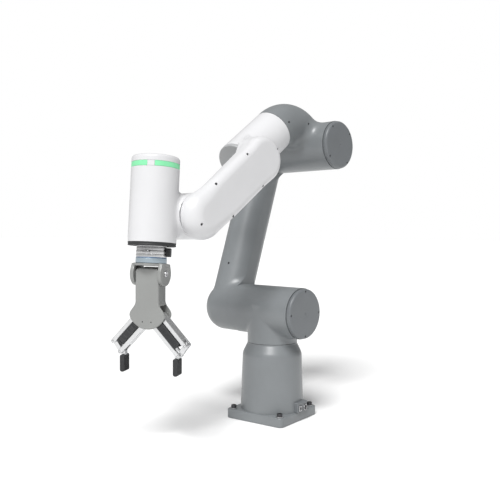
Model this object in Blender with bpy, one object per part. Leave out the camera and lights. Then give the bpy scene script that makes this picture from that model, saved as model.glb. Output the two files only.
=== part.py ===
"""Six-axis collaborative robot arm with a two-finger parallel gripper.

The arm stands on its base plate, with axis 1 up the world Z axis.  At zero angle every link
reaches toward +X; the lower arm runs on the -Y side and the end caps face +Y.  Each link is
modelled in the frame of the joint that carries it, and an empty on every joint axis turns it
to its rest angle.
"""
import math

import bmesh
import bpy

# Gap kept between neighbouring pieces, metres
GAP = 0.0003

# Joint axes: distances between them
SHOULDER_HEIGHT = 0.265
LOWER_ARM_LENGTH = 0.444
ELBOW_OFFSET = 0.110
FOREARM_LENGTH = 0.470
WRIST_OFFSET = 0.080

# Rest angles of the joints, degrees
REST_1 = -6.57
REST_2 = -18.65
REST_3 = 55.21
REST_4 = 1.3
REST_5 = 49.23
REST_6 = -25.0
REST_TILT = 6.0
REST_FINGER = 43.0

# Base
PLATE_SIDE = 0.165
PLATE_CORNER = 0.0115
PLATE_HEIGHT = 0.022
BASE_FOOT_RADIUS = 0.0785
BASE_TOP_RADIUS = 0.0741
BASE_BEVEL_START = 0.158
SEAM_1 = 0.188
BOLT_OFFSET = 0.0685

# Arm tubes
NECK_RADIUS = 0.0623
SHOULDER_RADIUS = 0.0622
ELBOW_RADIUS = 0.0613
LOWER_TUBE_RADIUS = 0.052
LOWER_TUBE_Y = -0.150
ARM_SEAM_Y = -0.100
SHOULDER_CAP_Y = 0.105
ELBOW_CAP_Y = 0.103
CAP_THICKNESS = 0.0117
TUBE_RADIUS = 0.0526
SEAM_4 = 0.103
FOREARM_CAP_X = 0.2587
BEAM_FACE_Y = 0.090
BEAM_BACK_Y = 0.0506
BEAM_LEVEL_X = 0.418
KNUCKLE_BACK_Y = 0.0340
BEAM_HALF_HEIGHT = 0.050
BEAM_START_X = 0.246
SEAM_5 = 0.050

# Wrist
WRIST_RADIUS = 0.0503
WRIST_TOP = -0.1175
RING_TOP = -0.103
RING_BOTTOM = -0.092
RING_GAP_ANGLE = 139.5
RING_GAP_HALF = 8.5
WRIST_BOTTOM = 0.0614
SEAL_BOTTOM = 0.0690

# Tool, measured along axis 6
CHANGER_RADIUS = 0.0322
CHANGER_SPLIT = 0.0932
BRACKET_TOP = 0.1050
BRACKET_PLATE = 0.0050
TILT_PIVOT = 0.1260
EAR_RADIUS = 0.025
EAR_INNER = 0.0272
EAR_OUTER = 0.0352

# Gripper body, in the frame of its tilt pivot: y across, x down
BODY_HALF_DEPTH = 0.018
BODY_HALF_WIDTH = 0.0266
BODY_TOP = -0.0130
BODY_NECK_END = 0.062
HEAD_CENTRE = 0.0698
HEAD_RADIUS = 0.0447
HEAD_START = 0.0815
BODY_WALL = 0.0025

# Fingers
INNER_PIVOT = (0.0098, 0.1055)
OUTER_PIVOT = (0.0258, 0.0840)
LINK_LENGTH = 0.083
LINK_WIDTH = 0.009
LINK_HALF_DEPTH = 0.012
PAD_OFFSET = -0.0053
PAD_TOP = 0.0060
PAD_LENGTH = 0.0365
PAD_THICKNESS = 0.011
PAD_WIDTH = 0.024

# Round shapes
LARGE_STEPS = 30
SMALL_STEPS = 14

# Directions that a turned shape's own axis can point along
ALONG = {
    "+z": (0.0, 0.0, 0.0),
    "-z": (math.pi, 0.0, 0.0),
    "+y": (-math.pi / 2, 0.0, 0.0),
    "-y": (math.pi / 2, 0.0, 0.0),
    "+x": (0.0, math.pi / 2, 0.0),
    "-x": (0.0, -math.pi / 2, 0.0),
}

# Finishes: colour, roughness, metallic
GRAPHITE = ("graphite_paint", (0.20, 0.215, 0.225), 0.42, 0.0)
WHITE = ("white_paint", (0.82, 0.82, 0.83), 0.35, 0.0)
CAP_GREY = ("cap_grey", (0.30, 0.31, 0.32), 0.45, 0.0)
BLACK = ("black_rubber", (0.025, 0.025, 0.027), 0.7, 0.0)
DARK_PLASTIC = ("dark_plastic", (0.05, 0.05, 0.055), 0.5, 0.0)
STEEL = ("steel", (0.55, 0.55, 0.56), 0.3, 1.0)
ALUMINIUM = ("aluminium", (0.70, 0.70, 0.71), 0.35, 1.0)
LIGHT_GREY = ("light_grey_paint", (0.42, 0.43, 0.43), 0.4, 0.2)
COPPER = ("motor_copper", (0.60, 0.33, 0.18), 0.4, 1.0)
GREEN = ("light_green", (0.20, 0.85, 0.42), 0.3, 0.0)


def clear_scene():
    for obj in list(bpy.data.objects):
        bpy.data.objects.remove(obj, do_unlink=True)


def finish(spec):
    """The material of a finish, made the first time it is asked for."""
    name, colour, roughness, metallic = spec
    found = bpy.data.materials.get(name)
    if found:
        return found
    made = bpy.data.materials.new(name)
    made.use_nodes = True
    shader = made.node_tree.nodes["Principled BSDF"]
    shader.inputs["Base Color"].default_value = (*colour, 1.0)
    shader.inputs["Roughness"].default_value = roughness
    shader.inputs["Metallic"].default_value = metallic
    return made


def frame(name, parent, at, turn):
    """An empty on a joint axis; turn is in degrees about X, Y and Z."""
    empty = bpy.data.objects.new(name, None)
    bpy.context.collection.objects.link(empty)
    empty.parent = parent
    empty.location = at
    empty.rotation_euler = [math.radians(a) for a in turn]
    return empty


def add(name, bm, parent, at, along, spec):
    """One object from a bmesh, placed in its parent's frame with its own Z along an axis."""
    bmesh.ops.recalc_face_normals(bm, faces=bm.faces)
    mesh = bpy.data.meshes.new(name)
    bm.to_mesh(mesh)
    bm.free()
    mesh.shade_smooth()
    mesh.set_sharp_from_angle(angle=math.radians(35))
    obj = bpy.data.objects.new(name, mesh)
    bpy.context.collection.objects.link(obj)
    obj.parent = parent
    obj.location = at
    obj.rotation_euler = ALONG[along]
    if spec:
        own = finish(spec).copy()
        own.name = name
        mesh.materials.append(own)
    return obj


def helper(bm, parent, at=(0.0, 0.0, 0.0), along="+z"):
    """A guide for a Boolean, left out of the model."""
    obj = add("guide", bm, parent, at, along, None)
    obj.hide_render = True
    obj.display_type = "WIRE"
    return obj


def combine(target, operation, guides, solver="EXACT"):
    for guide in guides:
        modifier = target.modifiers.new(operation.lower(), "BOOLEAN")
        modifier.operation = operation
        modifier.solver = solver
        modifier.object = guide


def turned(profile, steps=LARGE_STEPS, ring=False, phase=0.0):
    """Turn (radius, height) points about Z from a start angle; a ring's profile closes on itself."""
    bm = bmesh.new()
    points = [bm.verts.new((r * math.cos(phase), r * math.sin(phase), h)) for r, h in profile]
    edges = [bm.edges.new(pair) for pair in zip(points, points[1:])]
    if ring:
        edges.append(bm.edges.new((points[-1], points[0])))
    bmesh.ops.spin(
        bm,
        geom=points + edges,
        cent=(0.0, 0.0, 0.0),
        axis=(0.0, 0.0, 1.0),
        angle=math.tau,
        steps=steps,
        use_merge=True,
    )
    bmesh.ops.remove_doubles(bm, verts=bm.verts, dist=1e-6)
    return bm


def rod(radius, low, high, steps=LARGE_STEPS, phase=0.0):
    return turned([(0.0, low), (radius, low), (radius, high), (0.0, high)], steps, phase=phase)


def tube(outer, inner, low, high, steps=LARGE_STEPS):
    return turned([(inner, low), (outer, low), (outer, high), (inner, high)], steps, ring=True)


def quarter_round(radius, height, size, count):
    """Points that round off a rod's end: from its side at height - size to its flat end."""
    points = []
    for i in range(count + 1):
        angle = math.pi / 2 * i / count
        points.append((radius - size + size * math.cos(angle), height - size + size * math.sin(angle)))
    return points


def block(low, high, bevel=0.0, segments=1):
    """A box between two corners, with every edge bevelled."""
    bm = bmesh.new()
    bmesh.ops.create_cube(bm, size=1.0)
    for vert in bm.verts:
        for k in range(3):
            vert.co[k] = (low[k] + high[k]) / 2 + vert.co[k] * (high[k] - low[k])
    if bevel:
        bmesh.ops.bevel(
            bm, geom=bm.edges[:], offset=bevel, segments=segments, affect="EDGES", profile=0.5
        )
    return bm


def extruded(outline, low, high):
    """A closed outline in the XY plane, extruded from one height to another."""
    bm = bmesh.new()
    face = bm.faces.new([bm.verts.new((x, y, low)) for x, y in outline])
    made = bmesh.ops.extrude_face_region(bm, geom=[face])
    for item in made["geom"]:
        if isinstance(item, bmesh.types.BMVert):
            item.co.z = high
    return bm


def arc(centre, radius, start, end, count):
    """Points on an arc; angles in degrees."""
    points = []
    for i in range(count + 1):
        angle = math.radians(start + (end - start) * i / count)
        points.append((centre[0] + radius * math.cos(angle), centre[1] + radius * math.sin(angle)))
    return points


def rounded_rectangle(x0, y0, x1, y1, radius, count=5):
    return (
        arc((x1 - radius, y1 - radius), radius, 0, 90, count)
        + arc((x0 + radius, y1 - radius), radius, 90, 180, count)
        + arc((x0 + radius, y0 + radius), radius, 180, 270, count)
        + arc((x1 - radius, y0 + radius), radius, 270, 360, count)
    )


def bar_outline(start, end, radius, count=6):
    """A bar with round ends about two points."""
    angle = math.degrees(math.atan2(end[1] - start[1], end[0] - start[0]))
    return arc(end, radius, angle - 90, angle + 90, count) + arc(
        start, radius, angle + 90, angle + 270, count
    )


def loft(loops):
    """A closed skin through loops of equally many points, capped at both ends."""
    bm = bmesh.new()
    rows = [[bm.verts.new(point) for point in loop] for loop in loops]
    count = len(rows[0])
    for here, there in zip(rows, rows[1:]):
        for k in range(count):
            n = (k + 1) % count
            bm.faces.new((here[k], here[n], there[n], there[k]))
    bm.faces.new(rows[0])
    bm.faces.new(list(reversed(rows[-1])))
    return bm


def bend(corner, start_radius, end_radius, straight, steps=LARGE_STEPS, rings=7):
    """A round bend in the XZ plane, from pointing up at x = 0 to pointing along +X."""
    sections = []
    for i in range(rings + 1):
        share = i / rings
        angle = math.pi / 2 * share
        radius = start_radius + (end_radius - start_radius) * share
        sections.append((angle, corner - corner * math.cos(angle), corner * math.sin(angle), radius))
    sections.append((math.pi / 2, corner + straight, corner, end_radius))
    loops = []
    for angle, x, z, radius in sections:
        loop = []
        for k in range(steps):
            turn = math.tau * (k + 0.5) / steps
            across = radius * math.cos(turn)
            loop.append((x - across * math.cos(angle), radius * math.sin(turn), z + across * math.sin(angle)))
        loops.append(loop)
    return loft(loops)


def beam(grow):
    """The forearm's side beam: a rounded section whose back is level, clear of the wrist's swing."""
    loops = []
    for x, round_back, round_front in (
        (BEAM_START_X, 0.0020, 0.0165),
        (BEAM_LEVEL_X, 0.0185, 0.0200),
        (FOREARM_LENGTH, 0.0040, 0.0340),
    ):
        low = BEAM_BACK_Y - grow
        high = BEAM_FACE_Y + grow
        half = BEAM_HALF_HEIGHT + grow
        front = max(round_front + grow, 0.0015)
        rear = max(round_back + grow, 0.0015)
        loop = []
        loop += arc((high - front, half - front), front, 0, 90, 5)
        loop += arc((low + rear, half - rear), rear, 90, 180, 5)
        loop += arc((low + rear, rear - half), rear, 180, 270, 5)
        loop += arc((high - front, front - half), front, 270, 360, 5)
        loops.append([(x, y, z) for y, z in loop])
    return loft(loops)


def joint_unit(number, motor_at, gear_at, radius, motor_gap=0.003):
    """A hollow-shaft motor and the strain-wave gear that it drives across a joint's seam.

    motor_at and gear_at are (frame, seam point, direction away from the seam).
    """
    start = motor_gap
    motor = [
        (0.009, start),
        (radius, start),
        (radius, start + 0.024),
        (0.8 * radius, start + 0.028),
        (0.8 * radius, start + 0.050),
        (0.009, start + 0.050),
    ]
    gear = [
        (0.009, 0.003),
        (0.9 * radius, 0.003),
        (0.9 * radius, 0.015),
        (0.55 * radius, 0.018),
        (0.55 * radius, 0.026),
        (0.009, 0.026),
    ]
    name = "joint_%d_" % number
    for kind, profile, (parent, at, along), spec in (
        ("motor", motor, motor_at, COPPER),
        ("gear", gear, gear_at, STEEL),
    ):
        add(name + kind, turned(profile, SMALL_STEPS, ring=True), parent, at, along, spec)


def end_cap(name, parent, radius, spigot, face, thickness, along, at, spec):
    """A round cap: a flange with a chamfered rim and a spigot into the housing."""
    back = face - thickness
    profile = [
        (0.0, back - 0.008),
        (spigot, back - 0.008),
        (spigot, back),
        (radius, back),
        (radius, face - 0.003),
        (radius - 0.003, face),
        (0.0, face),
    ]
    return add(name, turned(profile), parent, at, along, spec)


def make_base(root):
    outline = rounded_rectangle(
        -PLATE_SIDE / 2, -PLATE_SIDE / 2, PLATE_SIDE / 2, PLATE_SIDE / 2, PLATE_CORNER
    )
    housing = add("base_housing", extruded(outline, 0.0, PLATE_HEIGHT), root, (0, 0, 0), "+z", GRAPHITE)
    neck = NECK_RADIUS
    body = [
        (0.0, 0.010),
        (BASE_FOOT_RADIUS, 0.010),
        (BASE_FOOT_RADIUS, PLATE_HEIGHT),
        (BASE_TOP_RADIUS, BASE_BEVEL_START),
        (BASE_TOP_RADIUS - 0.0015, BASE_BEVEL_START + 0.006),
        (neck + 0.002, SEAM_1 - 0.006),
        (neck, SEAM_1 - 0.003),
        (neck, SEAM_1 - GAP),
        (0.0, SEAM_1 - GAP),
    ]
    room = [
        (0.0, -0.010),
        (0.066, -0.010),
        (0.066, 0.150),
        (0.0535, 0.172),
        (0.0535, 0.200),
        (0.0, 0.200),
    ]
    combine(housing, "UNION", [helper(turned(body), root)])
    holes = [helper(turned(room), root)]
    corners = [(x, y) for x in (-BOLT_OFFSET, BOLT_OFFSET) for y in (-BOLT_OFFSET, BOLT_OFFSET)]
    for x, y in corners:
        holes.append(helper(rod(0.0050, -0.01, 0.04, 12), root, (x, y, 0.0)))
    combine(housing, "DIFFERENCE", holes)
    add("base_floor", rod(0.0652, 0.0, 0.005), root, (0, 0, 0), "+z", DARK_PLASTIC)
    top = PLATE_HEIGHT + GAP
    bolt = [
        (0.0, 0.003),
        (0.0042, 0.003),
        (0.0042, top),
        (0.0092, top),
        (0.0092, top + 0.0018),
        (0.0068, top + 0.0018),
        (0.0068, top + 0.0080),
        (0.0060, top + 0.0088),
        (0.0, top + 0.0088),
    ]
    for number, (x, y) in enumerate(corners, 1):
        made = add("base_bolt_%d" % number, turned(bolt, 12), root, (x, y, 0.0), "+z", STEEL)
        socket = helper(rod(0.0036, top + 0.0040, top + 0.02, 6), root, (x, y, 0.0))
        combine(made, "DIFFERENCE", [socket])

    # The connector block stands at the edge of the plate, against the round body
    box = block((-0.027, 0.066, GAP), (0.0165, 0.0872, 0.047), 0.0015)
    shell = add("connector_block", box, root, (0, 0, 0), "+z", GRAPHITE)
    clear = [(r + GAP if r else 0.0, h) for r, h in body[:4]] + [(0.0, BASE_BEVEL_START)]
    cuts = [
        helper(turned(clear), root),
        helper(block((-0.1, -0.1, -0.01), (0.1, PLATE_SIDE / 2 + GAP, PLATE_HEIGHT + GAP)), root),
        helper(rod(0.0077, -0.0065, 0.004, SMALL_STEPS), root, (-0.0145, 0.0872, 0.032), "+y"),
        helper(block((-0.0003, 0.0812, 0.0252), (0.0113, 0.10, 0.0388)), root),
    ]
    combine(shell, "DIFFERENCE", cuts)
    inlet = [
        (0.0, -0.0060),
        (0.0074, -0.0060),
        (0.0074, 0.0030),
        (0.0058, 0.0030),
        (0.0058, -0.0030),
        (0.0, -0.0030),
    ]
    add("base_power_inlet", turned(inlet, SMALL_STEPS), root, (-0.0145, 0.0872, 0.032), "+y", STEEL)
    box = block((0.0, 0.0816, 0.0255), (0.0110, 0.0890, 0.0385), 0.0008)
    port = add("base_data_port", box, root, (0, 0, 0), "+z", DARK_PLASTIC)
    combine(port, "DIFFERENCE", [helper(block((0.0025, 0.0850, 0.0280), (0.0085, 0.10, 0.0360)), root)])


def make_shoulder(axis):
    """T-shaped housing: a neck on axis 1 and a level barrel on axis 2."""
    lift = (0.0, 0.0, SHOULDER_HEIGHT)
    cap_back = SHOULDER_CAP_Y - CAP_THICKNESS
    housing = add(
        "shoulder_housing", rod(SHOULDER_RADIUS, ARM_SEAM_Y + GAP, cap_back - GAP), axis, lift, "+y", GRAPHITE
    )
    combine(housing, "UNION", [helper(rod(NECK_RADIUS, SEAM_1, SHOULDER_HEIGHT), axis)])
    holes = [
        helper(rod(0.0535, -0.2, 0.2), axis, lift, "+y"),
        helper(rod(0.0520, 0.15, SHOULDER_HEIGHT), axis),
    ]
    combine(housing, "DIFFERENCE", holes)
    end_cap("shoulder_cap", axis, 0.0605, 0.0530, SHOULDER_CAP_Y, CAP_THICKNESS, "+y", lift, GRAPHITE)


def make_lower_arm(axis):
    """A round tube with a rounded elbow end turning to +Y at each joint."""
    top = (0.0, 0.0, LOWER_ARM_LENGTH)
    outer_face = LOWER_TUBE_RADIUS - LOWER_TUBE_Y
    knuckle = [(0.0, 0.090), (ELBOW_RADIUS, 0.090)]
    knuckle += quarter_round(ELBOW_RADIUS, outer_face, 0.045, 5)
    knuckle.append((0.0, outer_face))
    housing = add("lower_arm_housing", turned(knuckle), axis, (0, 0, 0), "-y", GRAPHITE)
    straight = rod(LOWER_TUBE_RADIUS - 0.0003, 0.0, LOWER_ARM_LENGTH, LARGE_STEPS, 0.03)
    shapes = [
        helper(turned(knuckle), axis, top, "-y"),
        helper(straight, axis, (0.0, LOWER_TUBE_Y, 0.0)),
    ]
    combine(housing, "UNION", shapes)
    room = [(0.0, 0.08), (0.0520, 0.08), (0.0520, 0.150)]
    room += [(0.040, 0.180), (0.0, 0.180)]
    holes = [
        helper(turned(room), axis, (0, 0, 0), "-y"),
        helper(turned(room), axis, top, "-y"),
        helper(rod(0.0430, 0.010, LOWER_ARM_LENGTH - 0.010, 24, 0.05), axis, (0.0, LOWER_TUBE_Y, 0.0)),
        helper(block((-0.2, ARM_SEAM_Y - GAP, -0.2), (0.2, 0.1, 0.8)), axis),
    ]
    combine(housing, "DIFFERENCE", holes, "MANIFOLD")


def make_elbow(axis):
    """A level barrel on axis 3 with a round bend that carries axis 4."""
    cap_back = ELBOW_CAP_Y - CAP_THICKNESS
    housing = add(
        "elbow_housing", rod(ELBOW_RADIUS, ARM_SEAM_Y + GAP, cap_back - GAP), axis, (0, 0, 0), "+y", GRAPHITE
    )
    corner = 0.092
    rise = ELBOW_OFFSET - corner
    run = SEAM_4 - GAP - corner
    shape = helper(bend(corner, 0.047, TUBE_RADIUS, run), axis, (0.0, 0.0, rise))
    combine(housing, "UNION", [shape])
    holes = [
        helper(rod(0.0527, -0.2, 0.2), axis, (0, 0, 0), "+y"),
        helper(bend(corner, 0.0385, 0.0440, run + 0.01), axis, (0.0, 0.0, rise)),
    ]
    combine(housing, "DIFFERENCE", holes)
    end_cap("elbow_cap", axis, 0.0600, 0.0522, ELBOW_CAP_Y, CAP_THICKNESS, "+y", (0, 0, 0), GRAPHITE)


def forearm_knuckle(grow):
    """The round body that turns the forearm tube into the side beam."""
    radius = TUBE_RADIUS - 0.0001 + grow
    start = KNUCKLE_BACK_Y - grow
    top = BEAM_FACE_Y - 0.0002 + grow
    profile = [(0.0, start), (radius, start)]
    profile += quarter_round(radius, top, 0.016, 3)
    profile.append((0.0, top))
    return turned(profile)


def make_forearm(axis):
    """A short tube on axis 4, a side beam beside it, and the barrel of axis 5."""
    here = (0, 0, 0)
    cap_back = FOREARM_CAP_X - 0.0085
    knuckle_at = (BEAM_START_X, 0.0, 0.0)
    wrist_at = (FOREARM_LENGTH, 0.0, 0.0)
    housing = add("forearm_housing", rod(TUBE_RADIUS, SEAM_4 + GAP, cap_back - GAP), axis, here, "+x", WHITE)
    barrel_top = BEAM_FACE_Y - 0.0001
    barrel = [(0.0, SEAM_5 + GAP), (0.0515, SEAM_5 + GAP)]
    barrel += quarter_round(0.0515, barrel_top, 0.034, 5)
    barrel.append((0.0, barrel_top))
    shapes = [
        helper(forearm_knuckle(0.0), axis, knuckle_at, "+y"),
        helper(beam(0.0), axis),
        helper(turned(barrel), axis, wrist_at, "+y"),
    ]
    combine(housing, "UNION", shapes, "MANIFOLD")

    inside = BEAM_FACE_Y - 0.009
    room = [(0.0, 0.0), (0.0425, 0.0), (0.0425, 0.061), (0.0270, 0.079), (0.0, 0.079)]
    window = rounded_rectangle(0.2137, -0.0343, 0.4483, 0.0343, 0.0303)
    holes = [
        helper(rod(0.0442, 0.05, cap_back + 0.01, 28, 0.05), axis, here, "+x"),
        helper(rod(0.0425, 0.0, inside, 24, 0.04), axis, knuckle_at, "+y"),
        helper(beam(-0.009), axis),
        helper(turned(room, 24, phase=0.04), axis, wrist_at, "+y"),
        helper(extruded([(x, -z) for x, z in window], 0.0, 0.1), axis, (0.0, inside - 0.002, 0.0), "+y"),
    ]
    combine(housing, "DIFFERENCE", holes, "MANIFOLD")

    cover = rounded_rectangle(0.214, -0.034, 0.448, 0.034, 0.030)
    outline = [(x, -z) for x, z in cover]
    back = (0.0, BEAM_FACE_Y - 0.0035, 0.0)
    add("forearm_side_cover", extruded(outline, 0.0, 0.0035), axis, back, "+y", WHITE)
    cap = end_cap("forearm_end_cap", axis, 0.0520, 0.0435, FOREARM_CAP_X, 0.0085, "+x", here, CAP_GREY)
    cuts = [helper(beam(2 * GAP), axis), helper(forearm_knuckle(2 * GAP), axis, knuckle_at, "+y")]
    combine(cap, "DIFFERENCE", cuts, "MANIFOLD")


def annular_sector(inner, outer, start, end, low, high, count=22):
    outline = arc((0.0, 0.0), outer, start, end, count) + arc((0.0, 0.0), inner, end, start, count)
    return extruded(outline, low, high)


def make_wrist(axis):
    """A barrel on axis 6 carried by a hub on axis 5."""
    side = (0.0, 0.0, WRIST_OFFSET)
    housing = add(
        "wrist_housing", rod(WRIST_RADIUS, RING_TOP + GAP, WRIST_BOTTOM - GAP), axis, side, "+x", WHITE
    )
    shapes = [
        helper(rod(0.0500, -0.0497, SEAM_5 - GAP), axis, (0, 0, 0), "+y"),
        helper(rod(0.0440, 0.0, WRIST_OFFSET, 24), axis),
    ]
    combine(housing, "UNION", shapes)
    holes = [
        helper(rod(0.0437, -0.2, 0.2, 24), axis, side, "+x"),
        helper(rod(0.0427, -0.2, 0.2, 24), axis, (0, 0, 0), "+y"),
        helper(rod(0.0360, 0.0, WRIST_OFFSET, 16), axis),
    ]
    start = RING_GAP_ANGLE + RING_GAP_HALF
    end = RING_GAP_ANGLE + 360.0 - RING_GAP_HALF
    groove = annular_sector(0.0470, 0.0700, start, end, RING_TOP - 0.01, RING_BOTTOM)
    holes.append(helper(groove, axis, side, "+x"))
    combine(housing, "DIFFERENCE", holes)
    ring = annular_sector(
        0.0473, WRIST_RADIUS, start + 0.5, end - 0.5, RING_TOP + GAP, RING_BOTTOM - GAP
    )
    add("light_ring", ring, axis, side, "+x", GREEN)
    inner = -RING_TOP - 0.008
    top = [(0.0, inner), (0.0430, inner), (0.0430, -RING_TOP), (WRIST_RADIUS, -RING_TOP)]
    top += quarter_round(WRIST_RADIUS, -WRIST_TOP, 0.007, 3)
    top.append((0.0, -WRIST_TOP))
    add("wrist_top_cap", turned(top), axis, side, "-x", WHITE)
    end_cap("wrist_rear_cap", axis, 0.0485, 0.0420, 0.0575, 0.0075, "-y", (0, 0, 0), WHITE)
    seal = tube(0.0500, 0.0345, WRIST_BOTTOM, SEAL_BOTTOM)
    add("wrist_seal_ring", seal, axis, side, "+x", BLACK)


def make_tool(axis):
    """The output flange, the quick changer and the U-shaped gripper bracket."""
    at = (0, 0, 0)
    flange = [
        (0.0, 0.0600),
        (0.0315, 0.0600),
        (0.0315, 0.0780),
        (0.0, 0.0780),
    ]
    add("tool_flange", turned(flange, 24), axis, at, "+x", STEEL)
    radius = CHANGER_RADIUS
    robot_side = [
        (0.0, 0.0783),
        (radius - 0.001, 0.0783),
        (radius, 0.0793),
        (radius, CHANGER_SPLIT - 0.0015),
        (radius - 0.0010, CHANGER_SPLIT - 0.0005),
        (0.0, CHANGER_SPLIT - 0.0005),
    ]
    add("changer_robot_side", turned(robot_side, 24), axis, at, "+x", ALUMINIUM)
    tool_side = [
        (0.0, CHANGER_SPLIT),
        (radius, CHANGER_SPLIT),
        (radius, BRACKET_TOP - GAP),
        (0.0, BRACKET_TOP - GAP),
    ]
    add("changer_tool_side", turned(tool_side, 24), axis, at, "+x", LIGHT_GREY)

    lever_frame = frame("changer_lever_frame", axis, at, (85.0, 0.0, 0.0))
    lever = block((0.0790, CHANGER_RADIUS + GAP, -0.009), (0.0850, CHANGER_RADIUS + 0.0062, 0.006), 0.0015)
    add("changer_lever", lever, lever_frame, at, "+z", STEEL)
    connector_frame = frame("changer_connector_frame", axis, at, (-14.0, 0.0, 0.0))
    plug = block((0.0715, CHANGER_RADIUS + 0.0008, -0.009), (0.0905, CHANGER_RADIUS + 0.0085, 0.009), 0.0020)
    add("changer_connector", plug, connector_frame, at, "+z", DARK_PLASTIC)

    disc = extruded(arc((0.0, 0.0), EAR_OUTER, 0, 360, 32)[:-1], BRACKET_TOP, BRACKET_TOP + BRACKET_PLATE)
    bracket = add("gripper_bracket", disc, axis, at, "+x", LIGHT_GREY)
    ears = []
    for low, high in ((-EAR_OUTER, -EAR_INNER), (EAR_INNER, EAR_OUTER)):
        ear = arc((TILT_PIVOT, 0.0), EAR_RADIUS, -90, 90, 12)
        ear += [(BRACKET_TOP + 0.0001, 0.0190), (BRACKET_TOP + 0.0001, -0.0190)]
        ears.append(helper(extruded([(x, -z) for x, z in ear], low, high), axis, at, "+y"))
    combine(bracket, "UNION", ears)
    bores = [helper(rod(0.0045, -0.05, 0.05, 16), axis, (TILT_PIVOT, 0.0, 0.0), "+y")]
    combine(bracket, "DIFFERENCE", bores)
    pin = [
        (0.0, 0.0200),
        (0.0042, 0.0200),
        (0.0042, EAR_OUTER + GAP),
        (0.0070, EAR_OUTER + GAP),
        (0.0070, EAR_OUTER + 0.0018),
        (0.0, EAR_OUTER + 0.0018),
    ]
    for name, along in (("tilt_screw_left", "-y"), ("tilt_screw_right", "+y")):
        made = add(name, turned(pin, 12), axis, (TILT_PIVOT, 0.0, 0.0), along, STEEL)
        socket = helper(rod(0.0030, EAR_OUTER - 0.004, 0.05, 6), axis, (TILT_PIVOT, 0.0, 0.0), along)
        combine(made, "DIFFERENCE", [socket])


def body_outline(inset):
    """The gripper body's front outline as (down, across) points, inset all round."""
    half = BODY_HALF_WIDTH - inset
    head = HEAD_RADIUS - inset
    corner = 0.010
    top = BODY_TOP + inset
    right = arc((top + corner, half - corner), corner, 180, 90, 4)
    right.append((BODY_NECK_END, half))
    right.append((HEAD_START, math.sqrt(head**2 - (HEAD_START - HEAD_CENTRE) ** 2) - 0.0020))
    right += arc((HEAD_CENTRE, 0.0), head, 66, 0, 12)
    left = [(x, -y) for x, y in reversed(right[:-1])]
    return right + left


def make_gripper_body(axis):
    """The gripper's shell, its back cover, motor, gear case and finger pins."""
    depth = BODY_HALF_DEPTH
    outline = body_outline(0.0)
    housing = add("gripper_housing", extruded(outline, -depth, depth), axis, (0, 0, 0), "+z", LIGHT_GREY)
    wall = depth - BODY_WALL
    room = BODY_HALF_WIDTH - BODY_WALL
    chamfers = []
    for sign in (1, -1):
        near, far = 0.0078 * sign, 0.0190 * sign
        side = [(-0.02, near), (-0.0130, near), (-0.0030, far), (-0.02, far)]
        chamfers.append(helper(extruded([(x, -z) for x, z in side], -0.05, 0.05), axis, (0, 0, 0), "+y"))
    holes = chamfers + [
        helper(block((-0.006, -room, -wall), (0.072, room, wall)), axis),
        helper(block((0.0650, -0.06, -wall), (0.13, 0.06, wall)), axis),
        helper(block((0.004, -0.0193, -0.03), (0.062, 0.0193, -wall + 0.001)), axis),
        helper(rod(0.0046, -0.05, 0.05, 16), axis, (0, 0, 0), "+y"),
    ]
    for side in (1, -1):
        holes.append(helper(rod(0.0012, 0.010, 0.03, 8), axis, (0.0985, 0.0098 * side, 0.0)))
    combine(housing, "DIFFERENCE", holes)
    cover = block((0.0043, -0.0190, -depth), (0.0617, 0.0190, -wall), 0.0008)
    add("gripper_back_cover", cover, axis, (0, 0, 0), "+z", LIGHT_GREY)
    motor = [
        (0.0, 0.0060),
        (0.0120, 0.0060),
        (0.0120, 0.0420),
        (0.0050, 0.0420),
        (0.0050, 0.0457),
        (0.0, 0.0457),
    ]
    add("gripper_motor", turned(motor, SMALL_STEPS), axis, (0, 0, 0), "+x", COPPER)
    case = block((0.0460, -0.0200, -0.0130), (0.0700, 0.0200, 0.0130), 0.002)
    add("gripper_gear_case", case, axis, (0, 0, 0), "+z", STEEL)
    pin_end = wall - GAP
    for name, (across, down), sign in (
        ("inner_pin_left", INNER_PIVOT, -1),
        ("inner_pin_right", INNER_PIVOT, 1),
        ("outer_pin_left", OUTER_PIVOT, -1),
        ("outer_pin_right", OUTER_PIVOT, 1),
    ):
        add(name, rod(0.0022, -pin_end, pin_end, 10), axis, (down, across * sign, 0.0), "+z", STEEL)


def link(name, axis, slot):
    """One finger bar, from its pivot along its own +X, forked at the far end."""
    radius = LINK_WIDTH / 2
    outline = bar_outline((0.0, 0.0), (LINK_LENGTH, 0.0), radius)
    depth = LINK_HALF_DEPTH
    bar = add(name, extruded(outline, -depth, depth), axis, (0, 0, 0), "+z", ALUMINIUM)
    holes = [
        helper(rod(0.0025, -0.05, 0.05, 12), axis),
        helper(rod(0.0025, -0.05, 0.05, 12), axis, (LINK_LENGTH, 0.0, 0.0)),
        helper(block((LINK_LENGTH - slot, -0.02, -0.0062), (LINK_LENGTH + 0.02, 0.02, 0.0062)), axis),
    ]
    combine(bar, "DIFFERENCE", holes)


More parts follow.
